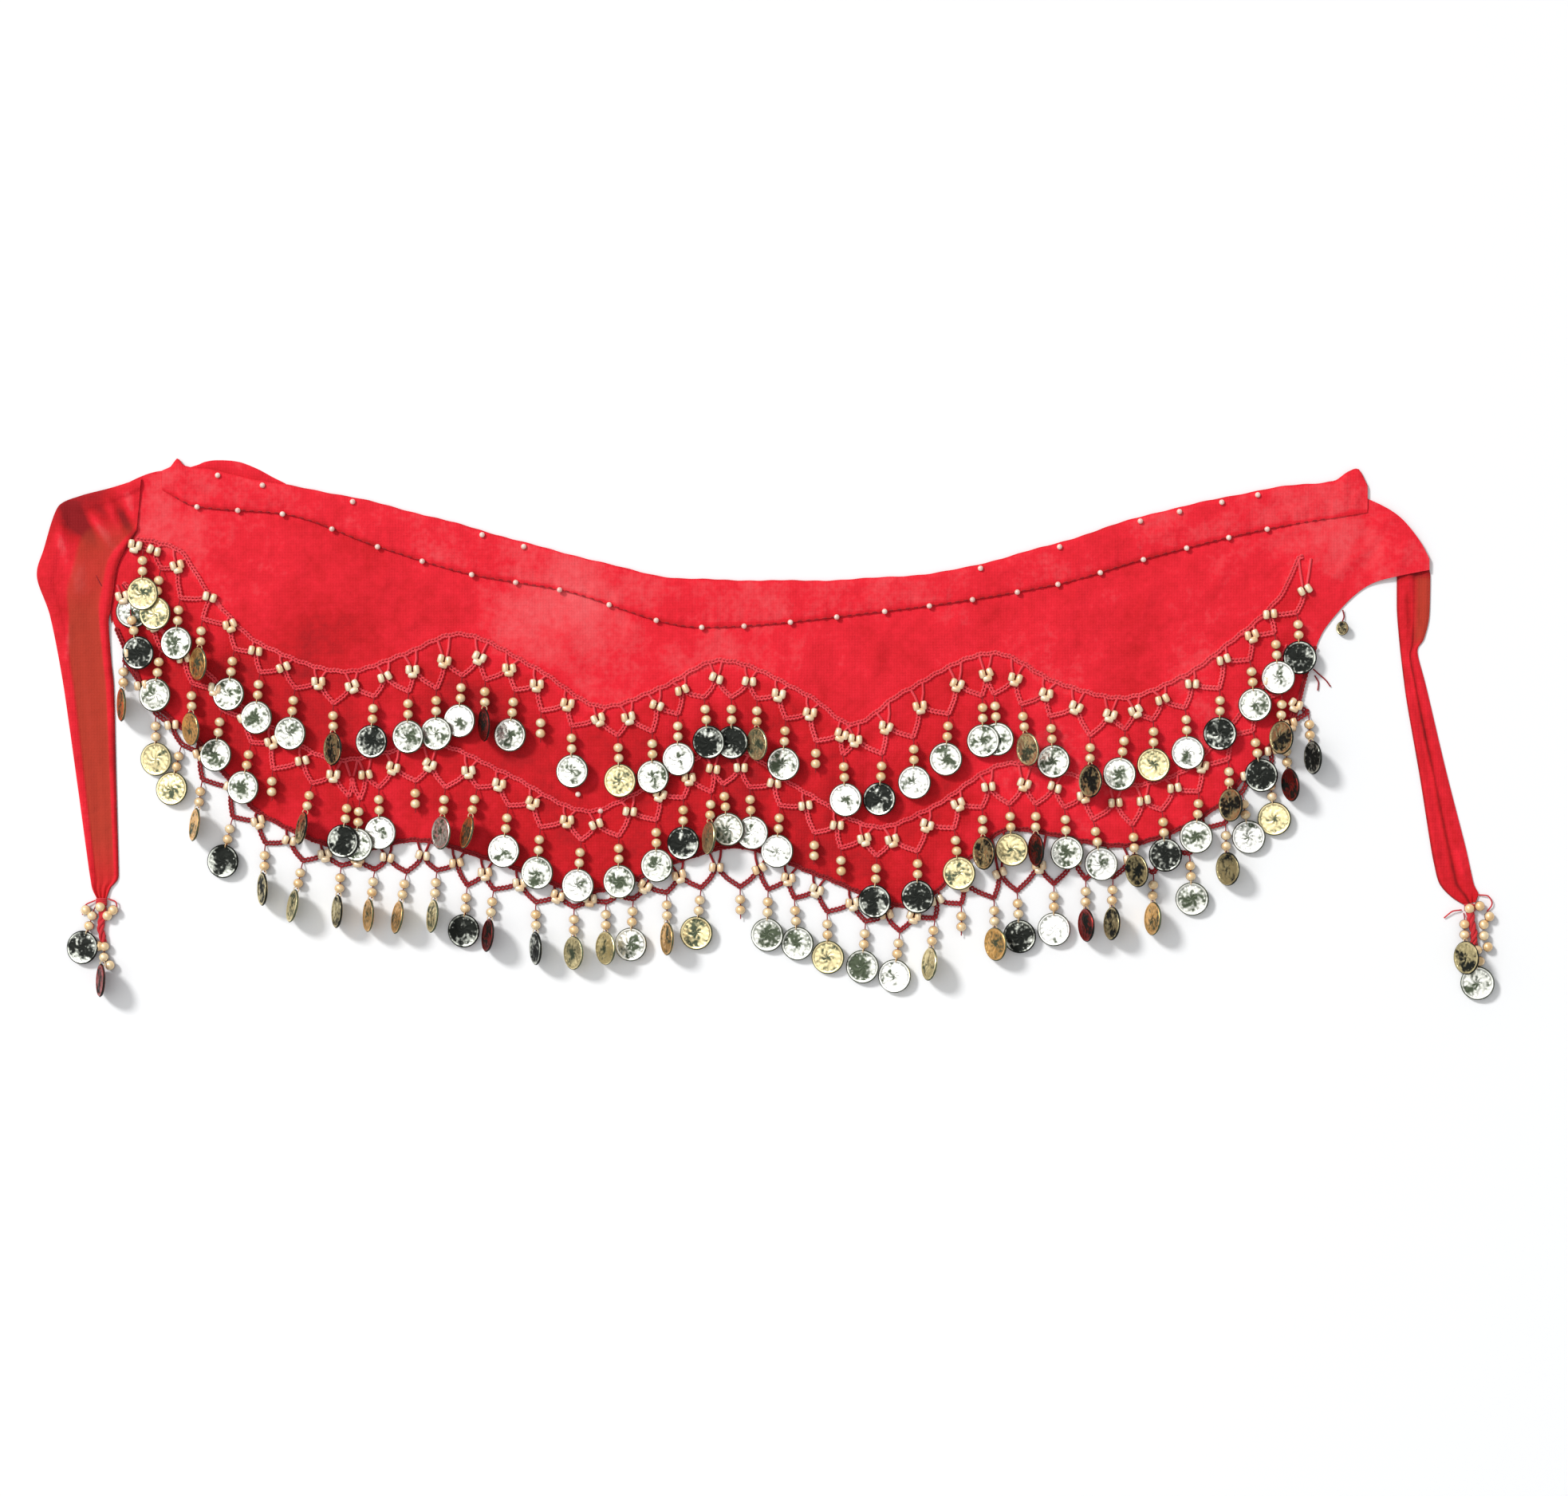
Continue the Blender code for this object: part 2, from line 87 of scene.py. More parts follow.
floor_mesh = bpy.data.meshes.new("floor")
corner = FLOOR_SIZE / 2
floor_mesh.from_pydata(
    [(-corner, -corner, 0), (corner, -corner, 0), (corner, corner, 0), (-corner, corner, 0)],
    [],
    [(0, 1, 2, 3)],
)
floor_finish, _ = finish_with("pale_floor", {"Base Color": FLOOR_COLOUR, "Roughness": 0.9})
floor_mesh.materials.append(floor_finish)
floor = added("floor", floor_mesh)

softbox = bpy.data.lights.new("overhead_softbox", "AREA")
softbox.size = SOFTBOX["size"]
softbox.energy = SOFTBOX["watts"]
key = bpy.data.lights.new("key_light", "SUN")
key.energy = KEY_STRENGTH
key.angle = math.radians(KEY_SOFTNESS)
for light, place in ((softbox, SOFTBOX["place"]), (key, KEY_FROM)):
    lamp = added(light.name, light)
    lamp.location = place
    lamp.rotation_euler = (-Vector(place)).to_track_quat("-Z", "Y").to_euler()

camera = added("camera", bpy.data.cameras.new("camera"))
camera.data.lens = LENS
camera.data.sensor_width = SENSOR
camera.location = (VIEW_CENTRE[0] * MM, VIEW_CENTRE[1] * MM, LENS / SENSOR * PHOTO_WIDTH * PIXEL * MM)
scene.camera = camera

# The panel is one layer of red crepe chiffon, cut as a crescent with a scalloped hem. It lies flat,
# with soft folds in its open field and small ripples where the rows of coins pull at it.
CLOTH = 1.2
SHELL = 0.5
LAID_GAP = 0.4
TUCK = 2.4
PANEL_COLUMNS = 380
PANEL_ROWS = 84
NET_ONSET = 18
NET_ENDS = ((-400, -380), (325, 345))
STITCHED_ENDS = ((-378, -362), (330, 360))
PUCKER_HEIGHT = 0.4
PUCKER_REACH = 7
PRESSED_DEPTH = 0.55
PRESSED_WIDTH = 2.2
DEEPEST_TROUGH = 0.65
WAIST_EDGE = (
    (-426, 137.5), (-405, 152), (-380, 162), (-359.5, 163.5), (-315, 155.5),
    (-262.5, 146), (-196, 129.5), (-124.5, 110), (-46, 94), (21, 93),
    (99, 97), (170, 113), (254.5, 138), (353, 154), (376.5, 145),
    (395.5, 134.5), (410, 117.5), (415.5, 107),
)
HEM = (
    (-426, 92.5), (-411, 72.5), (-405, 57.5), (-390, 23.5), (-352.5, -12.5),
    (-315, -55), (-255, -76.5), (-220, -70.5), (-173, -82.5), (-110, -102.5),
    (-48.5, -81.5), (-20, -74.5), (33, -92.5), (90, -112), (132, -78),
    (152.5, -63.5), (222.5, -74), (254.5, -65.5), (284, -48.5), (308.5, -19),
    (330.5, 5.5), (340.5, 40), (350.5, 63.5), (381, 92), (395.5, 96),
    (415.5, 100),
)
STITCHING = (
    (-378, 150), (-356, 139.5), (-302.5, 135), (-243, 114.5), (-184, 97),
    (-129, 87.5), (-40, 64), (74.5, 74), (183, 91), (236.5, 106.5),
    (314, 125.5), (377, 136),
)
BRAID_1 = (
    (-388, 117.5), (-369, 112), (-349.5, 85), (-316, 52), (-262.5, 35),
    (-227.5, 45.5), (-192.5, 58.5), (-144, 37), (-101.5, 13), (-66.5, 24.5),
    (-28.5, 42), (27.5, 19.5), (54, 2), (85, 21.5), (143, 46.5),
    (184, 27.5), (222.5, 18.5), (262, 32.5), (286.5, 50), (323.5, 84),
    (333.5, 106.5),
)
# Folds and creases: the middle, the lean from the Y axis in degrees, the length, width and height
FOLDS = (
    (-338, 112, 38, 80, 13, 1.0),
    (-262, 84, 12, 70, 16, 1.2),
    (-205, 78, -24, 46, 15, 0.8),
    (-124, 52, 30, 52, 18, 1.2),
    (-52, 54, -14, 40, 14, 0.8),
    (20, 40, 20, 44, 18, 1.0),
    (104, 56, -30, 52, 15, 0.9),
    (186, 62, 8, 60, 17, 1.2),
    (262, 84, -22, 66, 16, 1.0),
    (350, 112, -68, 66, 13, 1.4),
)
CREASES = (
    (-352, 118, 42, 46, 4, 0.9),
    (-330, 96, 30, 60, 5, -0.5),
    (-296, 104, 18, 52, 3.5, 0.7),
    (-286, 70, 8, 48, 5, -0.5),
    (-240, 92, -14, 40, 4, 0.8),
    (-222, 66, -28, 30, 5, 0.6),
    (-180, 74, 22, 34, 4, -0.5),
    (-150, 60, 34, 50, 5, 0.8),
    (-112, 44, 12, 42, 5, -0.45),
    (-84, 60, -20, 36, 4, 0.7),
    (-34, 58, -8, 26, 4, 0.6),
    (8, 52, 24, 40, 5, 0.8),
    (44, 40, 4, 56, 6, -0.5),
    (70, 48, -16, 44, 4, 0.8),
    (120, 66, -34, 36, 4, 0.6),
    (160, 60, 10, 50, 5, -0.4),
    (196, 88, 2, 44, 4, 0.8),
    (197, 62, 3, 40, 3, -0.6),
    (238, 80, -18, 56, 5, 0.8),
    (286, 98, -30, 50, 4, 0.7),
    (322, 116, -48, 44, 4, -0.5),
    (340, 132, -62, 60, 5, 0.9),
    (366, 104, -50, 60, 4, 1.0),
    (386, 118, -35, 50, 4, -0.8),
    (398, 108, -20, 40, 3.5, 1.0),
    (-392, 84, 30, 50, 5, 0.7),
    (-366, 30, 24, 40, 4, 0.8),
)
# Where the cloth looks lighter or deeper: the middle, the reach and the tone
PATCHES = (
    (-378, 124, 30, 0.5),
    (-318, 104, 34, 0.15),
    (-292, 40, 26, -0.35),
    (60, 92, 30, 0.35),
    (-262, 66, 46, -0.4),
    (-130, 62, 50, 0.7),
    (-22, 50, 30, 0.4),
    (88, 60, 60, -0.1),
    (210, 74, 70, -0.1),
    (372, 120, 40, 0.35),
    (-345, 20, 60, -0.35),
    (-110, -60, 130, -0.25),
    (40, -60, 60, -0.35),
    (-190, 22, 22, -0.4),
    (-20, -20, 24, -0.45),
    (120, -44, 20, -0.4),
    (232, 24, 24, -0.55),
    (190, -20, 60, 0.45),
    (280, 6, 40, 0.4),
    (-160, 10, 40, -0.3),
)


def line_through(table):
    """A smooth height for any x, through a table of x, y, that never swings past its points."""
    xs, ys = np.array(table, float).T
    steps = np.diff(ys) / np.diff(xs)
    before, after = steps[:-1], steps[1:]
    both = before * after
    inner = np.where(both > 0, 2 * both / np.where(both > 0, before + after, 1), 0)
    slopes = np.concatenate(([steps[0]], inner, [steps[-1]]))

    def height(x):
        i = np.clip(np.searchsorted(xs, x, side="right") - 1, 0, len(xs) - 2)
        span = xs[i + 1] - xs[i]
        t = np.clip((x - xs[i]) / span, 0, 1)
        ease = t * t * (3 - 2 * t)
        bend = slopes[i] * t * (1 - t) ** 2 - slopes[i + 1] * t * t * (1 - t)
        return ys[i] + (ys[i + 1] - ys[i]) * ease + span * bend

    return height


def eased(low, high, x):
    """0 below low, 1 above high, and a smooth rise between them."""
    t = np.clip((x - low) / (high - low), 0, 1)
    return t * t * (3 - 2 * t)


def within(ends, x):
    """1 inside two ends, with a smooth rise over the first of them and a smooth fall over the second."""
    return eased(*ends[0], x) * (1 - eased(*ends[1], x))


def ridges(table, x, y):
    """The height that a table of folds or creases adds at a place."""
    total = 0 * x
    for middle_x, middle_y, lean, length, width, height in table:
        turn = math.radians(lean)
        dx, dy = x - middle_x, y - middle_y
        along = (dy * math.cos(turn) - dx * math.sin(turn)) / (length / 2)
        across = (dx * math.cos(turn) + dy * math.sin(turn)) / width
        total = total + height * np.exp(-across * across) * np.clip(1 - along * along, 0, 1) ** 2
    return total


waist_edge, hem, stitching = line_through(WAIST_EDGE), line_through(HEM), line_through(STITCHING)
braid_1 = line_through(BRAID_1)
tuck_lift = line_through(((376, 0), (394, TUCK), (416, TUCK)))


def cloth_top(x, y):
    """The top of the panel's solid: its folds, and its rise over the end of the right tie."""
    return tuck_lift(x) + CLOTH + ridges(FOLDS, x, y)


def pucker(x):
    """The small uneven gathers that a hand-pulled row of stitches leaves, from -1 to 1."""
    return 0.6 * np.sin(0.92 * x + 1.6 * np.sin(x / 11)) + 0.4 * np.sin(0.53 * x + 1.2 * np.sin(x / 23))


def rippled(x, y):
    """The small uneven ripples, mostly upright, that the rows of coins pull into the cloth."""
    broad = 0.5 * np.sin(x / 4.3 + 1.9 * np.sin(x / 47) + 0.035 * y)
    fine = 0.32 * np.sin(x / 2.5 + 1.1 * np.sin(x / 29) - 0.05 * y + 2)
    return (broad + fine) * (0.65 + 0.35 * np.sin(x / 83 + 1))


def lie(x, y):
    """The top of the chiffon where it is finished: folds, creases, ripples and gathers."""
    below_stitches = stitching(x) - y
    field = eased(-6, 0, below_stitches)
    net = eased(0, NET_ONSET, braid_1(x) - y) * within(NET_ENDS, x)
    gathers = PUCKER_HEIGHT * pucker(x) * np.exp(-np.abs(below_stitches) / PUCKER_REACH)
    pressed = -PRESSED_DEPTH * np.exp(-((below_stitches / PRESSED_WIDTH) ** 2))
    raised = ridges(CREASES, x, y) + net * rippled(x, y) + within(STITCHED_ENDS, x) * (gathers + pressed)
    return cloth_top(x, y) + np.maximum(field * raised, -DEEPEST_TROUGH)


class Wire:
    """One output of a node. Sums and products of wires, and of wires and numbers, add Math nodes."""

    def __init__(self, tree, output=None):
        self.tree = tree
        self.output = output

    def node(self, kind, settings, sockets, output=None):
        """Adds a node of any other kind: its settings first, then its sockets' values or wires."""
        made = self.tree.nodes.new("ShaderNode" + kind)
        for name, value in settings.items():
            if name == "stops":
                stops = made.color_ramp.elements
                while len(stops) < len(value):
                    stops.new(0.5)
                for stop, (position, colour) in zip(stops, value):
                    stop.position = position
                    stop.color = (*colour, 1)
            else:
                setattr(made, name, value)
        for name, value in sockets.items():
            socket = next(s for s in made.inputs if name in (s.identifier, s.name))
            if isinstance(value, Wire):
                self.tree.links.new(value.output, socket)
            else:
                socket.default_value = value
        found = [s for s in made.outputs if output in (None, s.identifier, s.name)]
        return Wire(self.tree, found[0])

    def maths(self, operation, one, two):
        return self.node("Math", {"operation": operation}, {"Value": one, "Value_001": two})

    def __add__(self, other):
        return self.maths("ADD", self, other)

    def __radd__(self, other):
        return self.maths("ADD", other, self)

    def __sub__(self, other):
        return self.maths("SUBTRACT", self, other)

    def __rsub__(self, other):
        return self.maths("SUBTRACT", other, self)

    def __mul__(self, other):
        return self.maths("MULTIPLY", self, other)

    def __rmul__(self, other):
        return self.maths("MULTIPLY", other, self)

    def rise(self, low, high):
        """0 below low, 1 above high, and a smooth rise between them."""
        limits = {"Value": self, "From Min": low, "From Max": high}
        return self.node("MapRange", {"interpolation_type": "SMOOTHSTEP"}, limits)

    def between(self, one, two):
        """The colour one where this is 0, two where it is 1, and a mix between them."""
        sockets = {"Factor_Float": self, "A_Color": one, "B_Color": two}
        return self.node("Mix", {"data_type": "RGBA"}, sockets, "Result_Color")

    def noise(self, scale, detail=2.0):
        """Cloudy noise over this place."""
        return self.node("TexNoise", {}, {"Vector": self, "Scale": scale, "Detail": detail}, "Fac")

    def into(self, shader, socket):
        self.tree.links.new(self.output, shader.inputs[socket])


def worked_finish(name, even):
    """A material with its even values set, its shader, a wire of its tree, and the place on the object."""
    material, shader = finish_with(name, even)
    wires = Wire(material.node_tree)
    return material, shader, wires, wires.node("TexCoord", {}, {}, "Object")


def bumped(wires, height, distance, strength, over=None):
    """A normal raised by a height, over another normal if there is one."""
    sockets = {"Height": height, "Distance": distance, "Strength": strength}
    if over:
        sockets["Normal"] = over
    return wires.node("Bump", {}, sockets)


CHIFFON_REDS = (
    (0.0, (0.28, 0.001, 0.004)),
    (0.3, (0.62, 0.003, 0.009)),
    (0.55, (0.87, 0.011, 0.028)),
    (1.0, (0.96, 0.155, 0.165)),
)
SHEER_RED = (0.53, 0.048, 0.020, 1)
WEAVE_BANDS = 450
SEEN_THROUGH = 0.14


def chiffon(name, sheer):
    """Crepe chiffon: a fine crossed weave under a soft mottle, and browner where it is one sheer layer."""
    even = {
        "Roughness": 0.72,
        "Sheen Weight": 0.22,
        "Sheen Roughness": 0.45,
        "Sheen Tint": (1.0, 0.42, 0.42, 1),
        "Specular IOR Level": 0.28,
    }
    material, shader, wires, place = worked_finish(name, even)
    # The tone attribute holds each piece's lighter and deeper patches together with its painted shade and
    # light.
    tone = wires.node("Attribute", {"attribute_name": "tone"}, {}, "Fac")
    single = wires.node("Attribute", {"attribute_name": "single"}, {}, "Fac")
    cloud = place.noise(20, 3) - 0.5
    streak = place.noise(75, 3) - 0.5
    grain = place.noise(300, 2) - 0.5
    shade = 0.52 + 0.4 * tone + 0.5 * cloud + 0.32 * streak + 0.18 * grain
    red = wires.node("ValToRGB", {"stops": CHIFFON_REDS}, {"Fac": shade}, "Color")
    single.between(red, SHEER_RED).into(shader, "Base Color")
    bands = {"Vector": place, "Scale": WEAVE_BANDS, "Distortion": 1.5, "Detail": 1.0, "Detail Scale": 2.0}
    warp = wires.node("TexWave", {"bands_direction": "X"}, bands, "Fac")
    weft = wires.node("TexWave", {"bands_direction": "Y"}, bands, "Fac")
    wrinkled = bumped(wires, place.noise(70, 3), 0.004, 0.35)
    bumped(wires, warp + weft + place.noise(900, 2), 0.0003, 0.5, wrinkled).into(shader, "Normal")
    if sheer:
        (1 - SEEN_THROUGH * single).into(shader, "Alpha")
    return material


def smooth_piece(name, mesh, finish, sharpest):
    """A piece from a mesh, smooth but for its edges that bend by more than an angle in degrees."""
    mesh.shade_smooth()
    mesh.set_sharp_from_angle(angle=math.radians(sharpest))
    mesh.materials.append(finish)
    return added(name, mesh)


def cloth_shell(name, x, y, top, finish, tone=0.0, single=0.0):
    """A thin closed sheet of cloth. x, y and top are grids, with a line for each column of points."""
    columns, rows = x.shape
    count = columns * rows
    upper = np.stack([x, y, top], -1).reshape(-1, 3) * MM
    lower = upper - (0, 0, SHELL * MM)
    start = (np.arange(columns - 1)[:, None] * rows + np.arange(rows - 1)).ravel()
    cells = np.stack([start, start + 1, start + rows + 1, start + rows], 1)
    ring = [*range(rows), *range(2 * rows - 1, count, rows)]
    ring += [*range(count - 2, count - rows - 1, -1), *range(count - 2 * rows, 0, -rows)]
    a, b = upper[rows] - upper[0], upper[1] - upper[0]
    if a[0] * b[1] - a[1] * b[0] > 0:
        cells = cells[:, ::-1]
        ring = ring[::-1]
    faces = cells.tolist() + (cells[:, ::-1] + count).tolist()
    faces += [(p + count, q + count, q, p) for p, q in zip(ring, ring[1:] + ring[:1])]
    mesh = bpy.data.meshes.new(name)
    mesh.from_pydata(np.concatenate([upper, lower]).tolist(), [], faces)
    for label, values in (("tone", tone), ("single", single)):
        spread = np.tile((values + 0 * x).ravel(), 2).astype(np.float32)
        mesh.attributes.new(label, "FLOAT", "POINT").data.foreach_set("value", spread)
    return smooth_piece(name, mesh, finish, 55)


def flat_area(x, y):
    """The area in square metres that a grid of places covers."""
    ahead_x, ahead_y = x[1:, :-1] - x[:-1, :-1], y[1:, :-1] - y[:-1, :-1]
    down_x, down_y = x[:-1, 1:] - x[:-1, :-1], y[:-1, 1:] - y[:-1, :-1]
    return float(np.abs(ahead_x * down_y - ahead_y * down_x).sum()) * MM * MM


def fitted(piece, slot, node=None):
    """Every piece is part of the one body. Most stand for a solid of the CAD model."""
    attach(piece, "root")
    if node:
        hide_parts(node)


def patches(x, y):
    """How much lighter or deeper the cloth looks at a place."""
    total = 0 * x
    for middle_x, middle_y, reach, tone in PATCHES:
        total = total + tone * np.exp(-((x - middle_x) ** 2 + (y - middle_y) ** 2) / reach**2)
    return total


red_chiffon = chiffon("red_chiffon", sheer=False)
columns = np.linspace(WAIST_EDGE[0][0], WAIST_EDGE[-1][0], PANEL_COLUMNS)[:, None]
shares = np.linspace(0, 1, PANEL_ROWS)[None, :]
panel_x = columns + 0 * shares
panel_y = waist_edge(columns) + (hem(columns) - waist_edge(columns)) * shares
under_net_shade = eased(0, 8, braid_1(panel_x) - panel_y) * (1 - eased(*NET_ENDS[1], panel_x))
panel_tone = patches(panel_x, panel_y) - 0.3 * under_net_shade
panel = cloth_shell("panel_cloth", panel_x, panel_y, lie(panel_x, panel_y), red_chiffon, panel_tone)
panel_area = flat_area(panel_x, panel_y)
fitted(panel, "chiffon", "scarf_panel")

# The waist casing is the panel's upper edge, turned over and stitched down by hand. It is soft and a
# little puffed, gathers into small puckers at the stitches, and is pinched to a point at both ends.
CASING = 1.5
CASING_COLUMNS = 420
CASING_ROWS = 24
CASING_REACH = (-378, 377)
CASING_ENDS = ((-378, -364), (366, 377))
FLAT_AT_ENDS = 0.45
CASING_RISE = (
    (-378, 0.4), (-373, 2), (-368.5, 7), (-364, 2), (-358, 0.4),
    (340, 0.4), (355, 2), (365, 11), (371.5, 15.5), (377, 8),
)
PUFF = ((0, 0.3), (0.06, 0.75), (0.16, 1.0), (0.5, 1.08), (0.8, 0.85), (0.93, 0.55), (1, 0.35))
CASING_CREASES = (
    (-362, 156, 55, 26, 2.5, 0.7),
    (-352, 149, 70, 40, 3, -0.5),
    (-312, 146, 60, 34, 3, 0.5),
    (-232, 128, 64, 44, 3, 0.5),
    (-160, 108, 70, 30, 2.5, -0.4),
    (-60, 84, 78, 40, 3, 0.5),
    (60, 86, 96, 46, 3, -0.4),
    (150, 100, 104, 36, 2.5, 0.5),
    (250, 124, 108, 50, 3, 0.5),
    (330, 142, 100, 40, 3, -0.5),
    (362, 150, 12, 22, 2.5, 0.8),
    (372, 148, -28, 24, 2.5, 0.8),
)
casing_rise, puff = line_through(CASING_RISE), line_through(PUFF)
stations = np.linspace(*CASING_REACH, CASING_COLUMNS)
stations = np.unique(np.concatenate([stations, [x for x, _ in CASING_RISE]]))[:, None]
shares = 0.5 - 0.5 * np.cos(np.linspace(0, math.pi, CASING_ROWS))[None, :]
uneven_edge = 0.15 * np.sin(stations / 2.4 + 1.3 * np.sin(stations / 31)) + 0.3 * np.sin(stations / 8.3)
casing_top = waist_edge(stations) + casing_rise(stations) + uneven_edge * eased(0, 0.4, 1 - shares)
casing_x = stations + 0 * shares
casing_y = casing_top + (stitching(stations) - casing_top) * shares


def casing_lie(x, y, share):
    """The top of the casing: what it lies on, its puff, its puckers and its creases."""
    laid = cloth_top(x, np.minimum(y, waist_edge(x))) + LAID_GAP
    at_stitches = 0.5 * pucker(x) * eased(0.35, 1, share)
    at_edge = 0.22 * pucker(1.3 * x + 40) * (1 - eased(0, 0.4, share))
    body = CASING * puff(share) + at_stitches + at_edge + ridges(CASING_CREASES, x, y)
    flattened = 1 - FLAT_AT_ENDS * (1 - within(CASING_ENDS, x))
    return laid + np.maximum(body * flattened, LAID_GAP)


casing_z = casing_lie(casing_x, casing_y, shares + 0 * casing_x)
# Painted shade: the casing is painted darker along the stitching and along the waist edge, where it folds
# over.
shade_at_edges = 0.6 * eased(0.86, 1, shares) + 0.3 * (1 - eased(0, 0.06, shares))
casing_tone = patches(casing_x, casing_y) * 0.6 + 0.15 - shade_at_edges
casing = cloth_shell("casing_cloth", casing_x, casing_y, casing_z, red_chiffon, casing_tone)
fitted(casing, "chiffon", "waist_casing")
casing_area = flat_area(casing_x, casing_y)

# The edge that is turned up behind the casing on the left is the same chiffon, one layer, laid flat
# on the floor against the waist edge.
UNDER_PANEL = 3.0
TURNED_COLUMNS = 60
TURNED_ROWS = 9
TURNED_TOP = 0.62
TURNED_RISE = (
    (-363, 0.3), (-356, 2.6), (-351, 5), (-344, 7), (-329.5, 9),
    (-319.5, 7.5), (-308.5, 3.7), (-301, 1.3),
)
turned_rise = line_through(TURNED_RISE)
columns = np.linspace(TURNED_RISE[0][0], TURNED_RISE[-1][0], TURNED_COLUMNS)[:, None]
shares = np.linspace(0, 1, TURNED_ROWS)[None, :]
turned_x = columns + 0 * shares
turned_y = waist_edge(columns) + turned_rise(columns) * (1 - shares) - UNDER_PANEL * shares
turned_z = TURNED_TOP + (0.55 * np.sin(math.pi * shares) + 0.1 * pucker(turned_x)) * (1 - shares)
# Painted shade: the turned edge is painted darker towards where it slips under the panel.
turned = cloth_shell("turned_cloth", turned_x, turned_y, turned_z, red_chiffon, 0.05 - 0.3 * shares)
fitted(turned, "chiffon", "turned_edge")
turned_area = flat_area(turned_x, turned_y)

# The ties are long strips of the same chiffon with their edges folded in, so that they are double at
# the edges and one sheer layer between them. They narrow and gather to the tassels at their ends.
TIE_ALONG = 170
TIE_ACROSS = 36
GATHERED_ROWS = 3.4
PLEATS = 3.2
PLEAT_HEIGHT = 0.55
# Section by section down each tie: the outer edge, the inner edge, and how high the cloth lies
TIE_LEFT = (
    (-391, 157.5, -394, 123.5, 1.6),
    (-410, 151.5, -401, 112.5, 1.6),
    (-429, 146.5, -405, 105, 1.6),
    (-442, 141, -407, 97.5, 1.6),
    (-452, 113.5, -408.5, 86.5, 1.6),
    (-456.5, 97, -410, 76.5, 1.6),
    (-448.5, 72, -411.5, 66, 1.0),
    (-442.5, 42, -410, 42.5, 0.0),
    (-440, 27.5, -408.5, 27.5, 0.0),
    (-431.5, -32.5, -407, -32.5, 0.0),
    (-423.5, -91, -405.5, -91, 0.0),
    (-422, -99.5, -410.5, -99.5, 0.0),
    (-419, -106, -413, -106, 0.0),
)
TIE_RIGHT = (
    (412, 110.5, 397, 108, 0.0),
    (416.5, 96, 395.5, 94.5, 0.0),
    (416, 73, 395.5, 78, 0.0),
    (412.5, 57, 397.5, 51.5, 0.0),
    (408.5, 49, 398.5, 42.5, 0.0),
    (414, 26.5, 401, 22.5, 0.0),
    (426.5, -26.5, 410, -30, 0.0),
    (439, -75.5, 418.5, -82.5, 0.0),
    (444, -97.5, 422, -96, 0.0),
    (446.5, -103, 430.5, -105.5, 0.0),
    (445, -108, 437, -109.5, 0.0),
)
# Across a tie, from its outer edge: the share of its width, and how high the cloth stands there
FOLDED_BOTH_EDGES = (
    (0, 1.0), (0.04, 1.6), (0.1, 1.9), (0.18, 1.8), (0.23, 1.1),
    (0.83, 1.1), (0.87, 1.8), (0.94, 1.9), (1, 1.0),
)
FOLDED_INNER_EDGE = ((0, 1.0), (0.1, 1.4), (0.45, 1.1), (0.52, 1.9), (0.88, 1.9), (1, 1.0))
LEFT_CREASES = (
    (-416.5, 126, 34, 44, 4, 1.4),
    (-428, 128, 34, 50, 4.5, -1.5),
    (-401.5, 131, 26, 38, 3.5, -1.4),
    (-410, 137, 25, 30, 3, 0.7),
    (-435, 132, 20, 26, 4, -0.7),
    (-441, 118, 12, 34, 3, 0.9),
    (-398, 140, 10, 30, 3, 0.6),
    (-430, 92, -8, 40, 4, 0.6),
    (-420, 84, -14, 36, 3, -0.5),
    (-436, 60, -6, 44, 2.5, 0.5),
    (-424, 10, 6, 80, 2.5, 0.5),
    (-418, -40, 5, 60, 2, -0.4),
)
RIGHT_CREASES = (
    (403, 92, -8, 26, 2.5, 0.6),
    (402.5, 78, 4, 44, 1.8, -0.7),
    (409, 66, 14, 28, 2, 0.5),
    (404, 36, 12, 34, 2, 0.6),
    (413, 0, 13, 64, 1.8, -0.5),
    (419, -30, 14, 50, 2, 0.6),
    (430, -62, 15, 44, 2, -0.5),
    (436, -86, 14, 30, 2, 0.6),
)


def through_rows(table, count):
    """Steps along the rows of a table, from 0 at the first, and its columns drawn smoothly at each step."""
    rows = np.arange(len(table))
    steps = np.linspace(0, len(table) - 1, count)
    return steps, [line_through(list(zip(rows, column)))(steps) for column in zip(*table)]


def tie_grid(sections, profile, creases):
    """The places and heights of a tie's points, and how far across it each one lies."""
    along, columns = through_rows(sections, TIE_ALONG)
    along = along[:, None]
    outer_x, outer_y, inner_x, inner_y, lift = (column[:, None] for column in columns)
    across = np.linspace(0, 1, TIE_ACROSS)[None, :]
    x = outer_x + (inner_x - outer_x) * across
    y = outer_y + (inner_y - outer_y) * across
    gather = eased(len(sections) - GATHERED_ROWS, len(sections) - 1, along)
    runs = 0.16 * np.sin(9 * across + 0.8 * along) + 0.12 * np.sin(21 * across - 0.5 * along)
    pleats = PLEAT_HEIGHT * gather * np.sin(2 * math.pi * (PLEATS * across + 0.1))
    z = lift + line_through(profile)(across) + runs + pleats + ridges(creases, x, y)
    return x, y, np.maximum(z, lift + SHELL + 0.05), across + 0 * x


sheer_chiffon = chiffon("sheer_chiffon", sheer=True)
left_x, left_y, left_z, left_across = tie_grid(TIE_LEFT, FOLDED_BOTH_EDGES, LEFT_CREASES)
outer_fold = 0.17 + 0.22 * eased(40, 96, left_y)
sheer_across = within(((outer_fold, outer_fold + 0.07), (0.82, 0.87)), left_across)
sheer_along = (0.9 - 0.25 * eased(66, 96, left_y)) * (1 - eased(116, 134, left_y))
left_single = sheer_across * sheer_along * (0.2 + 0.8 * eased(-104, -64, left_y))
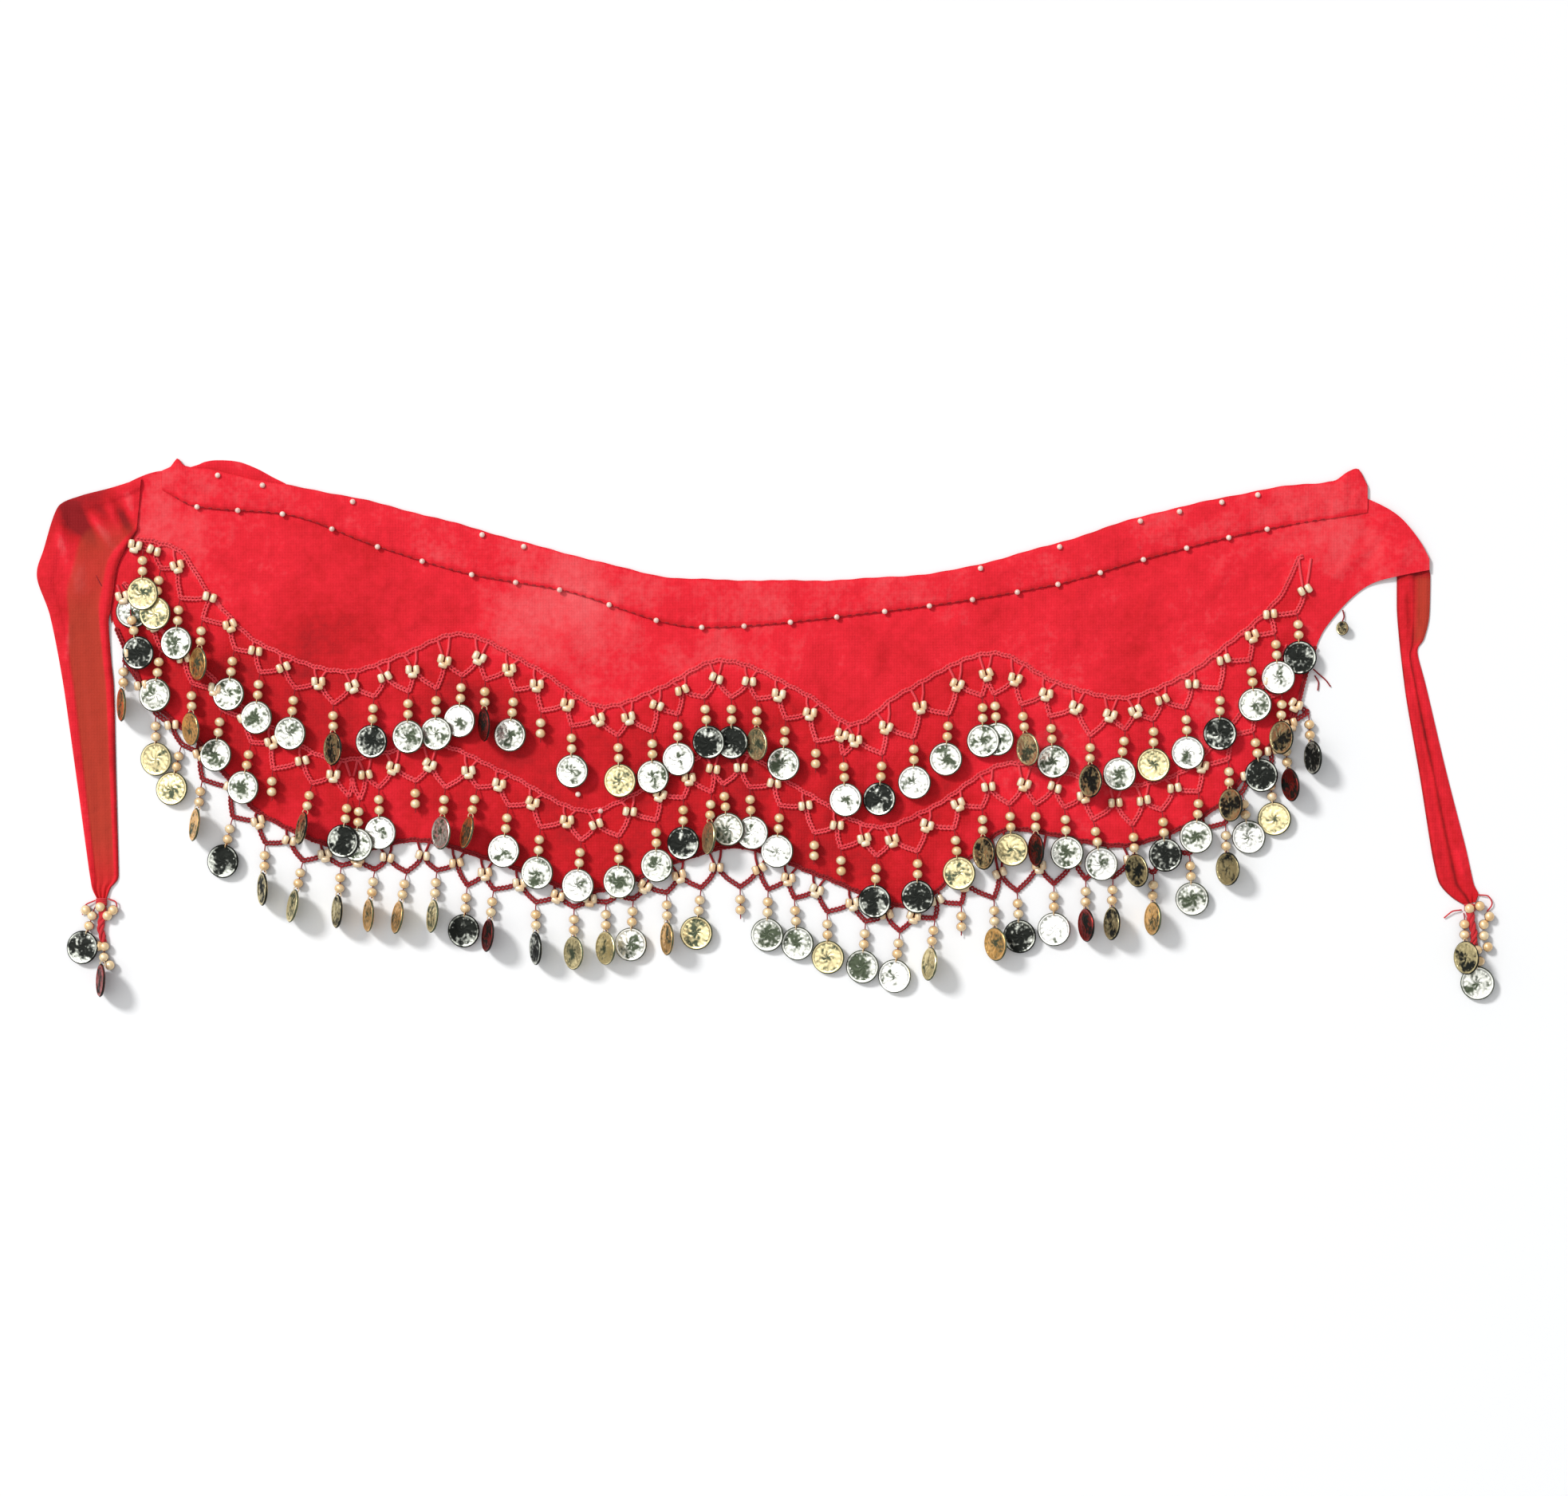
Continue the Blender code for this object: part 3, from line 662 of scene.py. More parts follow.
# Painted shade and light: the tie is painted darker along its inner edge, in its creases' troughs and at
# its top by the panel's shoulder, and lighter on its creases' ridges.
painted_edge_shade = 0.9 * eased(0.9, 1, left_across)
shoulder_shade = 0.75 * eased(100, 132, left_y) * (1 - eased(-416, -404, left_x))
left_tone = 0.9 * ridges(LEFT_CREASES, left_x, left_y) - 0.15 - painted_edge_shade - shoulder_shade
left_tie = cloth_shell("left_tie_cloth", left_x, left_y, left_z, sheer_chiffon, left_tone, left_single)
fitted(left_tie, "chiffon", "tie_left")
left_area = flat_area(left_x, left_y)

right_x, right_y, right_z, right_across = tie_grid(TIE_RIGHT, FOLDED_INNER_EDGE, RIGHT_CREASES)
right_single = 0.85 * (1 - eased(0.3, 0.54, right_across)) * within(((50, 60), (93, 98)), right_y)
# Painted shade and light: the tie is painted darker along the fold line in its upper part, along its inner
# edge, in its creases' troughs and under the panel's shoulder, and lighter on its creases' ridges.
fold_line_shade = 0.7 * np.exp(-(((right_across - 0.5) / 0.07) ** 2)) * (1 - eased(56, 70, right_y))
painted_edge_shade = 0.8 * eased(0.9, 1, right_across)
shoulder_shade = 0.8 * eased(92, 97, right_y)
right_tone = 0.5 * ridges(RIGHT_CREASES, right_x, right_y) - 0.35 - painted_edge_shade - fold_line_shade - shoulder_shade
right_places = (right_x, right_y, right_z)
right_tie = cloth_shell("right_tie_cloth", *right_places, sheer_chiffon, right_tone, right_single)
fitted(right_tie, "chiffon", "tie_right")
right_area = flat_area(right_x, right_y)

# The casing is sewn down by hand with a running stitch of dark red cotton thread. The thread is pulled
# tight enough to pucker the cloth on both sides of it.
STITCH_PITCH = 5.2
STITCH_LENGTH = 2.6
STITCH_RADIUS = 0.34
STITCHED = (-370, 352)


def tube(path, radii, sides=6):
    """A closed tube along a path, with a radius for each of its points."""
    path = np.array(path, float)
    radii = np.zeros(len(path)) + radii
    ahead = np.gradient(path, axis=0)
    ahead /= np.linalg.norm(ahead, axis=1)[:, None]
    helper = np.array((0.0, 0.0, 1.0)) if abs(ahead[0][2]) < 0.9 else np.array((1.0, 0.0, 0.0))
    points = []
    for middle, forward, radius in zip(path, ahead, radii):
        side = np.cross(helper, forward)
        side /= np.linalg.norm(side)
        up = np.cross(forward, side)
        for turn in np.arange(sides) * 2 * math.pi / sides:
            points.append(middle + radius * (math.cos(turn) * side + math.sin(turn) * up))
        helper = up
    faces = []
    for i in range(len(path) - 1):
        for j in range(sides):
            a, b = i * sides + j, i * sides + (j + 1) % sides
            faces.append((a, b, b + sides, a + sides))
    faces.append(tuple(reversed(range(sides))))
    faces.append(tuple(range(len(points) - sides, len(points))))
    return np.array(points), faces


def joined(name, shapes, finish, paint=None):
    """One mesh from many small closed shapes, each its points in millimetres and its faces. paint has
    the values of each shape for every attribute that the finish reads."""
    points, faces, start = [], [], 0
    for shape_points, shape_faces in shapes:
        points.append(shape_points)
        faces += [tuple(start + i for i in face) for face in shape_faces]
        start += len(shape_points)
    mesh = bpy.data.meshes.new(name)
    mesh.from_pydata((np.concatenate(points) * MM).tolist(), [], faces)
    for label, values in (paint or {}).items():
        parts = [np.zeros((len(p), 1)) + np.array(value) for (p, _), value in zip(shapes, values)]
        flat = np.concatenate(parts).astype(np.float32)
        if flat.shape[1] == 4:
            mesh.color_attributes.new(label, "FLOAT_COLOR", "POINT").data.foreach_set("color", flat.ravel())
        else:
            mesh.attributes.new(label, "FLOAT", "POINT").data.foreach_set("value", flat.ravel())
    return smooth_piece(name, mesh, finish, 42)


def thread_finish(name, deep, light):
    """Cotton thread: matt, with the fine uneven grain of its twist."""
    even = {"Roughness": 0.8, "Sheen Weight": 0.2, "Specular IOR Level": 0.25}
    material, shader, wires, place = worked_finish(name, even)
    ply = place.noise(1400, 2)
    (0.6 * ply + 0.9 * place.noise(45, 2) - 0.25).between(deep, light).into(shader, "Base Color")
    bumped(wires, ply, 0.0004, 0.5).into(shader, "Normal")
    return material


sewing_thread = thread_finish("dark_sewing_thread", (0.22, 0.002, 0.006, 1), (0.42, 0.006, 0.014, 1))
stitches = []
for x in np.arange(*STITCHED, STITCH_PITCH):
    run = x + np.linspace(0, STITCH_LENGTH, 5)
    y = stitching(run) + 0.3
    z = casing_lie(run, y, 0 * run + 0.98) + 0.22 - 0.3 * np.abs(np.linspace(-1, 1, 5)) ** 3
    stitches.append(tube(np.stack([run, y, z], 1), STITCH_RADIUS * np.array((0.6, 1, 1, 1, 0.6))))
stitching_thread = joined("casing_stitches", stitches, sewing_thread)
fitted(stitching_thread, "crochet_thread")

# Small half-drilled pearls are sewn on by hand, one every 27 mm along the stitching, a few along the
# waist edge, and two between the rows of coins.
PEARL_RADIUS = 1.75
PEARL_LIFT = 1.1
PEARLS_ON_STITCHING = (
    -356, -330.5, -302.5, -271.5, -243, -215, -184, -156.5, -129, -98, -68.5, -40, -13.5,
    15.5, 44.5, 74.5, 102.5, 129.5, 157.5, 183, 209.5, 236.5, 263.5, 290, 314,
)
PEARLS_ON_EDGE = (-343, -315, -258.5, -177.5, -151.5, 134.5, 184, 234.5, 259, 285.5, 308)
PEARLS_ON_PANEL = ((-117.5, -40.5), (-103.5, -51))


def ring_faces(rings, sides):
    """The faces between rings of points, foot first, where the first and last ring are single points."""
    faces = []
    for low, high in zip(rings, rings[1:]):
        for i in range(sides):
            j = (i + 1) % sides
            if len(low) == 1:
                faces.append((low[0], high[j], high[i]))
            elif len(high) == 1:
                faces.append((high[0], low[i], low[j]))
            else:
                faces.append((high[i], low[i], low[j], high[j]))
    return faces


def turned_shape(profile, sides):
    """A closed turned shape from its profile of radius and height, foot first, with points at both ends."""
    points, rings = [], []
    for radius, height in profile:
        rings.append(range(len(points), len(points) + (sides if radius else 1)))
        for turn in np.arange(len(rings[-1])) * 2 * math.pi / sides:
            points.append((radius * math.cos(turn), radius * math.sin(turn), height))
    return np.array(points, float), ring_faces(rings, sides)


def ball(radius, squash=1.0, sides=14, bands=8):
    """A round bead about its middle, flattened along Z by squash."""
    turns = np.linspace(-math.pi / 2, math.pi / 2, bands + 1)[1:-1]
    profile = [(radius * math.cos(t), squash * radius * math.sin(t)) for t in turns]
    return turned_shape([(0, -squash * radius), *profile, (0, squash * radius)], sides)


def placed(shape, place, turn=None):
    """A copy of a shape at a place, with its axes along the rows of turn."""
    points, faces = shape
    return (points if turn is None else points @ np.array(turn)) + np.array(place), faces


even = {"Roughness": 0.22, "Specular IOR Level": 0.7, "Coat Roughness": 0.08, "Coat Weight": 0.6}
pearl_finish, shader, _, place = worked_finish("pearl_lustre", even)
lustre = place.noise(300, 2).rise(0.3, 0.7)
lustre.between((0.80, 0.47, 0.40, 1), (0.90, 0.70, 0.60, 1)).into(shader, "Base Color")
pearl = ball(PEARL_RADIUS, 0.9, 16, 10)
pearls = []
for x in PEARLS_ON_STITCHING:
    y = float(stitching(x))
    pearls.append(placed(pearl, (x, y, float(casing_lie(x, y, 0.97)) + PEARL_LIFT)))
for x in PEARLS_ON_EDGE:
    y = float(waist_edge(x)) - 2.5
    pearls.append(placed(pearl, (x, y, float(casing_lie(x, y, 0.1)) + 1.0)))
for x, y in PEARLS_ON_PANEL:
    pearls.append(placed(pearl, (x, y, float(lie(x, y)) + PEARL_LIFT)))
sewn_pearls = joined("sewn_pearls", pearls, pearl_finish)
fitted(sewn_pearls, "pearl")

# Three rows of crochet carry the coins. Each is a chain-stitched braid with short loops below it that
# end in seed beads, and a zigzag chain from them down to each drop of beads and coin.
CHAIN_PITCH = 2.3
BRAID_WIDTH = 3.0
BRAID_STITCH = 3.1
BRAID_STEP = 1.2
ZIGZAG_STITCH = 3.4
CHAIN_LIFT = 0.8
SCALLOP = 0.5
SCALLOP_PITCH = 9.6
LOOP_SPREAD = 3.8
LOOP_THREAD = 0.85
SEED_REACH = 14.0
SEED_SHARE = 0.55
LEAST_RISE = 1.5
SEED_ROOM = 7.4
END_REACH = 5.0
FLOOR_CLEAR = 0.3
BRAID_2 = (
    (-401, 90), (-378.5, 61), (-358, 42.5), (-327, 12), (-309.5, 0),
    (-267, -20.5), (-208, -11), (-164.5, -28), (-110, -52.5), (-81.5, -41.5),
    (-23.5, -13.5), (23.5, -40), (71.5, -62.5), (101.5, -51.5), (154, -22.5),
    (228, -36.5), (257.5, -29.5), (297, 8), (322, 42), (335, 66),
)
braid_2 = line_through(BRAID_2)


def walk(path, pitch):
    """Even steps along a path: the middle of each step and the way that the path runs there."""
    path = np.array(path, float)
    reach = np.concatenate(([0], np.cumsum(np.linalg.norm(np.diff(path, axis=0), axis=1))))
    count = max(1, round(reach[-1] / pitch))
    ends = np.linspace(0, reach[-1], count + 1)
    marks = np.stack([np.interp(ends, reach, path[:, k]) for k in range(3)], 1)
    ahead = np.diff(marks, axis=0)
    return (marks[1:] + marks[:-1]) / 2, ahead / np.linalg.norm(ahead, axis=1)[:, None]


def chain_stitch(width):
    """One chain stitch: two plump strands that part and meet again, from the last stitch to the next."""
    shapes = []
    for side in (-1, 1):
        path = [
            (-1.3, side * 0.04 * width, -0.2),
            (-0.55, side * 0.2 * width, 0.12),
            (0.3, side * 0.31 * width, 0.22),
            (1.05, side * 0.26 * width, 0.08),
            (1.5, side * 0.12 * width, -0.15),
        ]
        shapes.append(tube(path, np.array((0.2, 0.44, 0.5, 0.4, 0.2)) * width / 2.2, 5))
    (points_1, faces_1), (points_2, faces_2) = shapes
    shifted = [tuple(i + len(points_1) for i in face) for face in faces_2]
    return np.concatenate([points_1, points_2]), faces_1 + shifted


def chain(path, width):
    """A crocheted chain along a path."""
    stitch = chain_stitch(width)
    shapes = []
    for middle, forward in zip(*walk(path, CHAIN_PITCH)):
        side = np.cross((0, 0, 1), forward)
        side /= np.linalg.norm(side)
        shapes.append(placed(stitch, middle, (forward, side, np.cross(forward, side))))
    return shapes


# Where each drop of a row hangs from the net, how far it sways in degrees, and how its coin lies: f on
# its face, o half turned, e nearly on edge, and n for two beads that have lost their coin
DROPS_1 = (
    (-389.5, 113.5, 0, "f"), (-378.5, 101, -7, "f"), (-366.5, 82.5, -4, "f"), (-352.5, 69.5, -3, "o"),
    (-332.5, 50.5, -7, "f"), (-316.5, 36, -4, "f"), (-294.5, 26, -6, "f"), (-270.5, 16.5, 1, "o"),
    (-245, 21, -3, "f"), (-223.5, 24, 0, "f"), (-206, 26, 0, "f"), (-190, 34, -3, "f"),
    (-175.5, 31.5, 0, "e"), (-157, 25, -6, "f"), (-140.5, 12, -1, "n"), (-121.5, 2.5, 1, "f"),
    (-92.5, -3.5, 3, "f"), (-71, -1, 1, "f"), (-55, 10, 1, "f"), (-38.5, 20.5, 6, "f"),
    (-21.5, 20.5, 1, "f"), (-5.5, 19.5, 0, "o"), (12.5, 7, -3, "f"), (31.5, -7, -1, "n"),
    (48.5, -15.5, 3, "f"), (73, -15, -4, "f"), (92.5, -4.5, 1, "f"), (114.5, 10, -4, "f"),
    (135.5, 21.5, 1, "f"), (143, 22.5, 4, "f"), (160, 16, 7, "o"), (178, 8.5, 4, "f"),
    (203, -3.5, -1, "o"), (225, 0.5, -8, "f"), (242.5, 6.5, 0, "f"), (262.5, 14, 3, "f"),
    (284, 26, 0, "f"), (303, 44, 6, "f"), (318.5, 61, 4, "f"), (332.5, 73.5, 3, "f"),
)
DROPS_2 = (
    (-397.5, 76, 11, "f"), (-378.5, 50, -7, "f"), (-359, 29, 1, "o"), (-340.5, 12.5, -7, "f"),
    (-322, -8, -10, "f"), (-308.5, -24.5, -1, "n"), (-284, -33.5, -11, "e"), (-261, -41.5, -7, "f"),
    (-254, -43.5, -3, "f"), (-242, -36, 2, "f"), (-219, -32, 0, "n"), (-200.5, -36, -4, "o"),
    (-180.5, -36, -12, "e"), (-161, -47.5, -6, "f"), (-141, -61, -4, "f"), (-115.5, -69, -4, "f"),
    (-92, -66.5, 1, "f"), (-68.5, -56.5, 1, "f"), (-51.5, -42.5, 0, "f"), (-34, -39, -3, "e"),
    (-26.5, -34, 6, "f"), (-10, -36, 3, "f"), (9, -47.5, -4, "f"), (30.5, -64.5, -1, "n"),
    (47, -74, 1, "n"), (69.5, -79, -3, "f"), (95, -76, 0, "f"), (118, -61.5, 6, "f"),
    (135.5, -48.5, 1, "o"), (152.5, -46.5, 3, "f"), (169, -46.5, -1, "e"), (187, -48.5, 3, "f"),
    (205, -56, 10, "f"), (229.5, -59.5, 4, "o"), (248, -50, 4, "f"), (271, -38.5, -4, "f"),
    (289.5, -18.5, 1, "o"), (305, -0.5, 10, "f"), (323, 23.5, -3, "o"),
)
DROPS_3 = (
    (-402, 44, 0, "e"), (-382, 10, 1, "f"), (-366, -9, -12, "f"), (-353, -31, -7, "e"),
    (-334, -54.5, -12, "f"), (-313.5, -71, -1, "e"), (-290, -82, -11, "e"), (-266, -85, -3, "e"),
    (-245, -87.5, -6, "e"), (-225, -89, -10, "e"), (-206, -88, -4, "e"), (-187, -97.5, -4, "f"),
    (-170.5, -100, -6, "e"), (-144, -108, 1, "e"), (-120, -111, 0, "o"), (-100, -108, 0, "o"),
    (-83, -106, -3, "f"), (-62, -102, 1, "e"), (-40.5, -99, -6, "f"), (-16, -98.5, 1, "n"),
    (1.5, -100, -1, "f"), (18, -105.5, 4, "f"), (38.5, -114, 1, "f"), (62.5, -120, -4, "f"),
    (84, -126, -7, "f"), (106, -118, -8, "e"), (122.5, -109, 0, "n"), (143, -105.5, 1, "o"),
    (157.5, -101, 3, "f"), (180.5, -96.5, 0, "f"), (200.5, -93.5, -1, "e"), (217.5, -92.5, -3, "e"),
    (243, -89.5, -3, "e"), (265.5, -77.5, 3, "f"), (288, -58.5, 1, "o"), (298.5, -39, 8, "f"),
    (315.5, -27.5, 6, "f"), (325.5, -6, 4, "e"), (340, 11, 3, "e"),
)
# The tint of each coin: g gold, s silver, w white, d dark, o olive, b brown, r dark red
ROWS = (
    {"drops": DROPS_1, "head": braid_1, "tints": "ggsbsssodsswrs-sgswddgs-wdwsssgsosgwdswd"},
    {"drops": DROPS_2, "head": braid_2, "tints": "dsbss-odsw-sbwswssdgsww--ddgogrswodsodo"},
    {"drops": DROPS_3, "head": hem, "tints": "bggbdogobbgdrdggwbg-ssgswg-bdwrobsowgrd"},
)


def under_net(x, y):
    """What lies below the net at a place: the cloth, or the floor past the hem."""
    on_panel = eased(-2.5, 0.5, y - hem(x))
    return on_panel * lie(x, y) + (1 - on_panel) * FLOOR_CLEAR


def over(points, lift):
    """A path of x, y laid over the cloth or the floor, lifted a little."""
    x, y = np.array(points, float).T
    return np.stack([x, y, under_net(x, y) + lift], 1)


light_crochet = thread_finish("crochet_cotton", (0.64, 0.010, 0.024, 1), (0.95, 0.105, 0.125, 1))
deep_crochet = thread_finish("deep_crochet_cotton", (0.17, 0.003, 0.006, 1), (0.42, 0.010, 0.017, 1))
nets = []
for number, row in enumerate(ROWS, 1):
    head = row["head"]
    feet = np.array([(x, y) for x, y, _, _ in row["drops"]])
    reach = np.concatenate([feet[:1] - (2 * END_REACH, 0), feet, feet[-1:] + (2 * END_REACH, 0)])
    middles = (reach[:-1] + reach[1:]) / 2
    slope = (head(middles[:, 0] + 1) - head(middles[:, 0] - 1)) / 2
    rise = np.minimum(SEED_REACH, SEED_SHARE * (head(middles[:, 0]) - middles[:, 1]))
    upward = np.stack([-slope, 1 + 0 * slope], 1) / np.sqrt(1 + slope * slope)[:, None]
    seeds = middles + upward * np.maximum(rise, LEAST_RISE)[:, None]
    along = np.arange(middles[0, 0], middles[-1, 0], BRAID_STEP)
    scallop = SCALLOP * np.cos(along * 2 * math.pi / SCALLOP_PITCH)
    braid = np.stack([along, head(along) + BRAID_WIDTH / 2 + scallop], 1)
    shapes = chain(over(braid, CHAIN_LIFT), BRAID_STITCH)
    for (x, y), up in zip(seeds, upward):
        for side in (-1, 1):
            top = x + 4 * up[0] + side * LOOP_SPREAD
            half_way = (x + side * 2.6 + up[0], (y + head(top)) / 2 + 1)
            loop = [(top, head(top) + 0.8), half_way, (x + side, y + 1)]
            shapes.append(tube(over(loop, CHAIN_LIFT), LOOP_THREAD, 5))
    for i, foot in enumerate(feet):
        for side, seed_place in ((-1, seeds[i]), (1, seeds[i + 1])):
            bend = (seed_place + foot) / 2 + (side * 0.8, -0.8)
            shapes += chain(over([seed_place, bend, foot], CHAIN_LIFT + 0.1), ZIGZAG_STITCH)
    net = joined(f"crochet_row_{number}", shapes, deep_crochet if number == 3 else light_crochet)
    fitted(net, "crochet_thread", f"coin_row_{number}")
    nets.append(net)
    gaps = np.linalg.norm(np.diff(reach, axis=0), axis=1)
    row["seeds"] = seeds[gaps > SEED_ROOM]

# Each loop of the net ends in a little cluster of pale gold seed beads: two stand side by side, and
# most have a third across their foot.
SEED_SPACING = 2.45
SEED_LIFT = 2.6
THIRD_SHARE = 0.6
THIRD_DROP = 3.4
MOST_SPIN = 0.45
BEAD_SHADE = (0.16, 0.06, 0.02, 1)


def metal_beads(name, deep, light):
    """Metallised plastic beads: warm and glossy, uneven from bead to bead, with painted shade in dull brown
    on their lower sides.
    """
    even = {"Metallic": 0.35, "Coat Weight": 0.4, "Coat Roughness": 0.1}
    material, shader, wires, place = worked_finish(name, even)
    # Painted shade: where a bead's surface turns down, away from the lights, its colour goes to BEAD_SHADE.
    facing = wires.node("NewGeometry", {}, {}, "Normal")
    upwards = wires.node("SeparateXYZ", {}, {"Vector": facing}, "Z").rise(0.05, 0.62)
    uneven = place.noise(130, 1).rise(0.3, 0.7)
    upwards.between(BEAD_SHADE, uneven.between(deep, light)).into(shader, "Base Color")
    (0.2 + 0.25 * place.noise(700, 2)).into(shader, "Roughness")
    return material


gold_bead = metal_beads("gold_beads", (0.92, 0.60, 0.29, 1), (1.0, 0.80, 0.50, 1))
seed_finish = metal_beads("seed_beads", (0.95, 0.64, 0.36, 1), (1.0, 0.83, 0.58, 1))
SEED_BEAD = ((0, -2.8), (1.4, -2.8), (2.1, -2.1), (2.2, 0), (2.1, 2.1), (1.4, 2.8), (0, 2.8))
seed = turned_shape(SEED_BEAD, 10)
seed_noise = random.Random(4)
for number, row in enumerate(ROWS, 1):
    shapes = []
    for x, y in row["seeds"]:
        spin = seed_noise.uniform(-MOST_SPIN, MOST_SPIN)
        right = np.array((math.cos(spin), math.sin(spin), 0))
        down = np.array((math.sin(spin), -math.cos(spin), 0))
        level = float(under_net(x, y)) + SEED_LIFT
        for side in (-1, 1):
            lean = side * seed_noise.uniform(-0.12, 0.2)
            axis = down * math.cos(lean) + right * math.sin(lean)
            flank = np.cross(axis, (0, 0, 1))
            middle = np.array((x, y, level)) + side * SEED_SPACING * right
            shapes.append(placed(seed, middle, (flank, (0, 0, -1), axis)))
        if seed_noise.random() < THIRD_SHARE:
            middle = np.array((x, y, level - 0.3)) + THIRD_DROP * down
            shapes.append(placed(seed, middle, (down, (0, 0, -1), right)))
    clusters = joined(f"seed_beads_row_{number}", shapes, seed_finish)
    fitted(clusters, "gold_bead", f"coin_row_{number}")
    nets.append(clusters)

# Every drop is a short thread with two round gold beads and a stamped coin on a wire ring. The coins
# are thin brass with a raised rim, a ring of dots and a whirl of leaves, plated or gone dark.
COIN_RADIUS = 10.5
COIN_THICK = 1.0
BEAD_RADIUS = 3.25
BEAD_1_DROP = 6.8
BEAD_2_DROP = 13.4
COIN_DROP = 27.5
COIN_LIFT = 0.5
OVER_NET = 1.7
THREAD_RADIUS = 0.4
RING_RADIUS = 1.7
RING_WIRE = 0.32
TURN = {"f": 14.0, "o": 52.0, "e": 67.0}
MOST_NOD = 2.5
COIN_SIDES = 60
FACE_RINGS = (1.2, 2.5, 3.8, 5.0, 6.0, 6.9, 7.7, 8.5, 9.0, 9.7)
BACK_RINGS = (COIN_RADIUS, 9.9, 9.0, 8.5)
LEAVES = 7
LEAF_REACH = 6.6
DOTS = 15
DOT_CIRCLE = 7.7
RIM = (9.0, 10.0)
SUNK = 0.15
STAMPED = 0.4
MIDDLE_KEPT = -0.9
# The coin's edge keeps almost no plating: a dark outline, partly tarnished and partly painted shade.
EDGE_KEPT_AND_SHADE = -2.6
# Red, green and blue of the plating, and how far it has tarnished
TINTS = {
    "g": (0.88, 0.74, 0.40, 0.36),
    "s": (0.84, 0.84, 0.76, 0.46),
    "w": (0.95, 0.94, 0.88, 0.28),
    "d": (0.66, 0.68, 0.60, 0.81),
    "o": (0.62, 0.52, 0.27, 0.58),
    "b": (0.82, 0.48, 0.17, 0.40),
    "r": (0.36, 0.03, 0.025, 0.55),
}
TARNISHED = "dor"


def coin_relief(radius, turn):
    """How high the stamping stands, from 0 to 1: the rim, the ring of dots and the whirl of leaves."""
    leaves = 0.5 + 0.5 * math.cos(LEAVES * (turn + 0.17 * radius))
    whirl = leaves * math.sin(math.pi * min(radius / LEAF_REACH, 1)) ** 0.7
    dot = max(0.0, math.cos(DOTS * turn)) * math.exp(-(((radius - DOT_CIRCLE) / 0.6) ** 2))
    rim = 1.0 if RIM[0] <= radius <= RIM[1] else 0.0
    return max(whirl if radius < LEAF_REACH else 0.0, dot, rim)


def coin_shape():
    """A stamped disc round its middle, its face to +Z, and how well each point keeps its plating: best
    where it is raised, and worst in the middle, where dirt gathers and the brass tarnishes, and at the
    edge, whose dark is partly tarnished and partly painted shade that outlines the coin."""
    points, kept, rings = [(0, 0, COIN_THICK / 2)], [MIDDLE_KEPT], [range(1)]
    for radii, side in ((FACE_RINGS, 1), (BACK_RINGS, -1)):
        for radius in radii:
            rings.append(range(len(points), len(points) + COIN_SIDES))
            for i in range(COIN_SIDES):
                turn = i * 2 * math.pi / COIN_SIDES
                stamp = coin_relief(radius, turn)
                height = side * (COIN_THICK / 2 - SUNK + STAMPED * stamp) if radius < COIN_RADIUS else 0.0
                points.append((radius * math.cos(turn), radius * math.sin(turn), height))
                hollow = 0.85 * math.exp(-((radius / 5.0) ** 2))
                kept.append(0.7 * stamp - hollow if radius < COIN_RADIUS else EDGE_KEPT_AND_SHADE)
    rings.append(range(len(points), len(points) + 1))
    points.append((0, 0, -COIN_THICK / 2))
    kept.append(MIDDLE_KEPT)
    shape = (np.array(points, float), ring_faces(rings[::-1], COIN_SIDES))
    return shape, np.array(kept)[:, None]


def coin_finish(name, dark):
    """Stamped plated brass: bright where the plating holds, and dark in uneven blots where it doesn't, and
    at the edge, where the dark is partly painted shade.
    """
    material, shader, wires, place = worked_finish(name, {"Metallic": 0.9})
    tint = wires.node("Attribute", {"attribute_name": "tint"}, {}, "Color")
    patina = wires.node("Attribute", {"attribute_name": "patina"}, {}, "Fac")
    kept = wires.node("Attribute", {"attribute_name": "kept"}, {}, "Fac")
    blots = 2.1 * place.noise(120, 2) + 0.7 * place.noise(480, 2) - 1.4
    # The dark mix covers worn plating in uneven blots and, at each coin's edge, painted shade.
    tarnish_and_shade = (patina - 0.5 * kept + blots - 0.38).rise(-0.16, 0.46)
    tarnish_and_shade.between(tint, dark).into(shader, "Base Color")
    (0.26 + 0.3 * tarnish_and_shade + 0.1 * place.noise(500, 2)).into(shader, "Roughness")
    bumped(wires, place.noise(1100, 3), 0.0002, 0.3).into(shader, "Normal")
    return material


def unit(vector):
    """The vector's direction, at length 1."""
    return np.array(vector, float) / np.linalg.norm(vector)


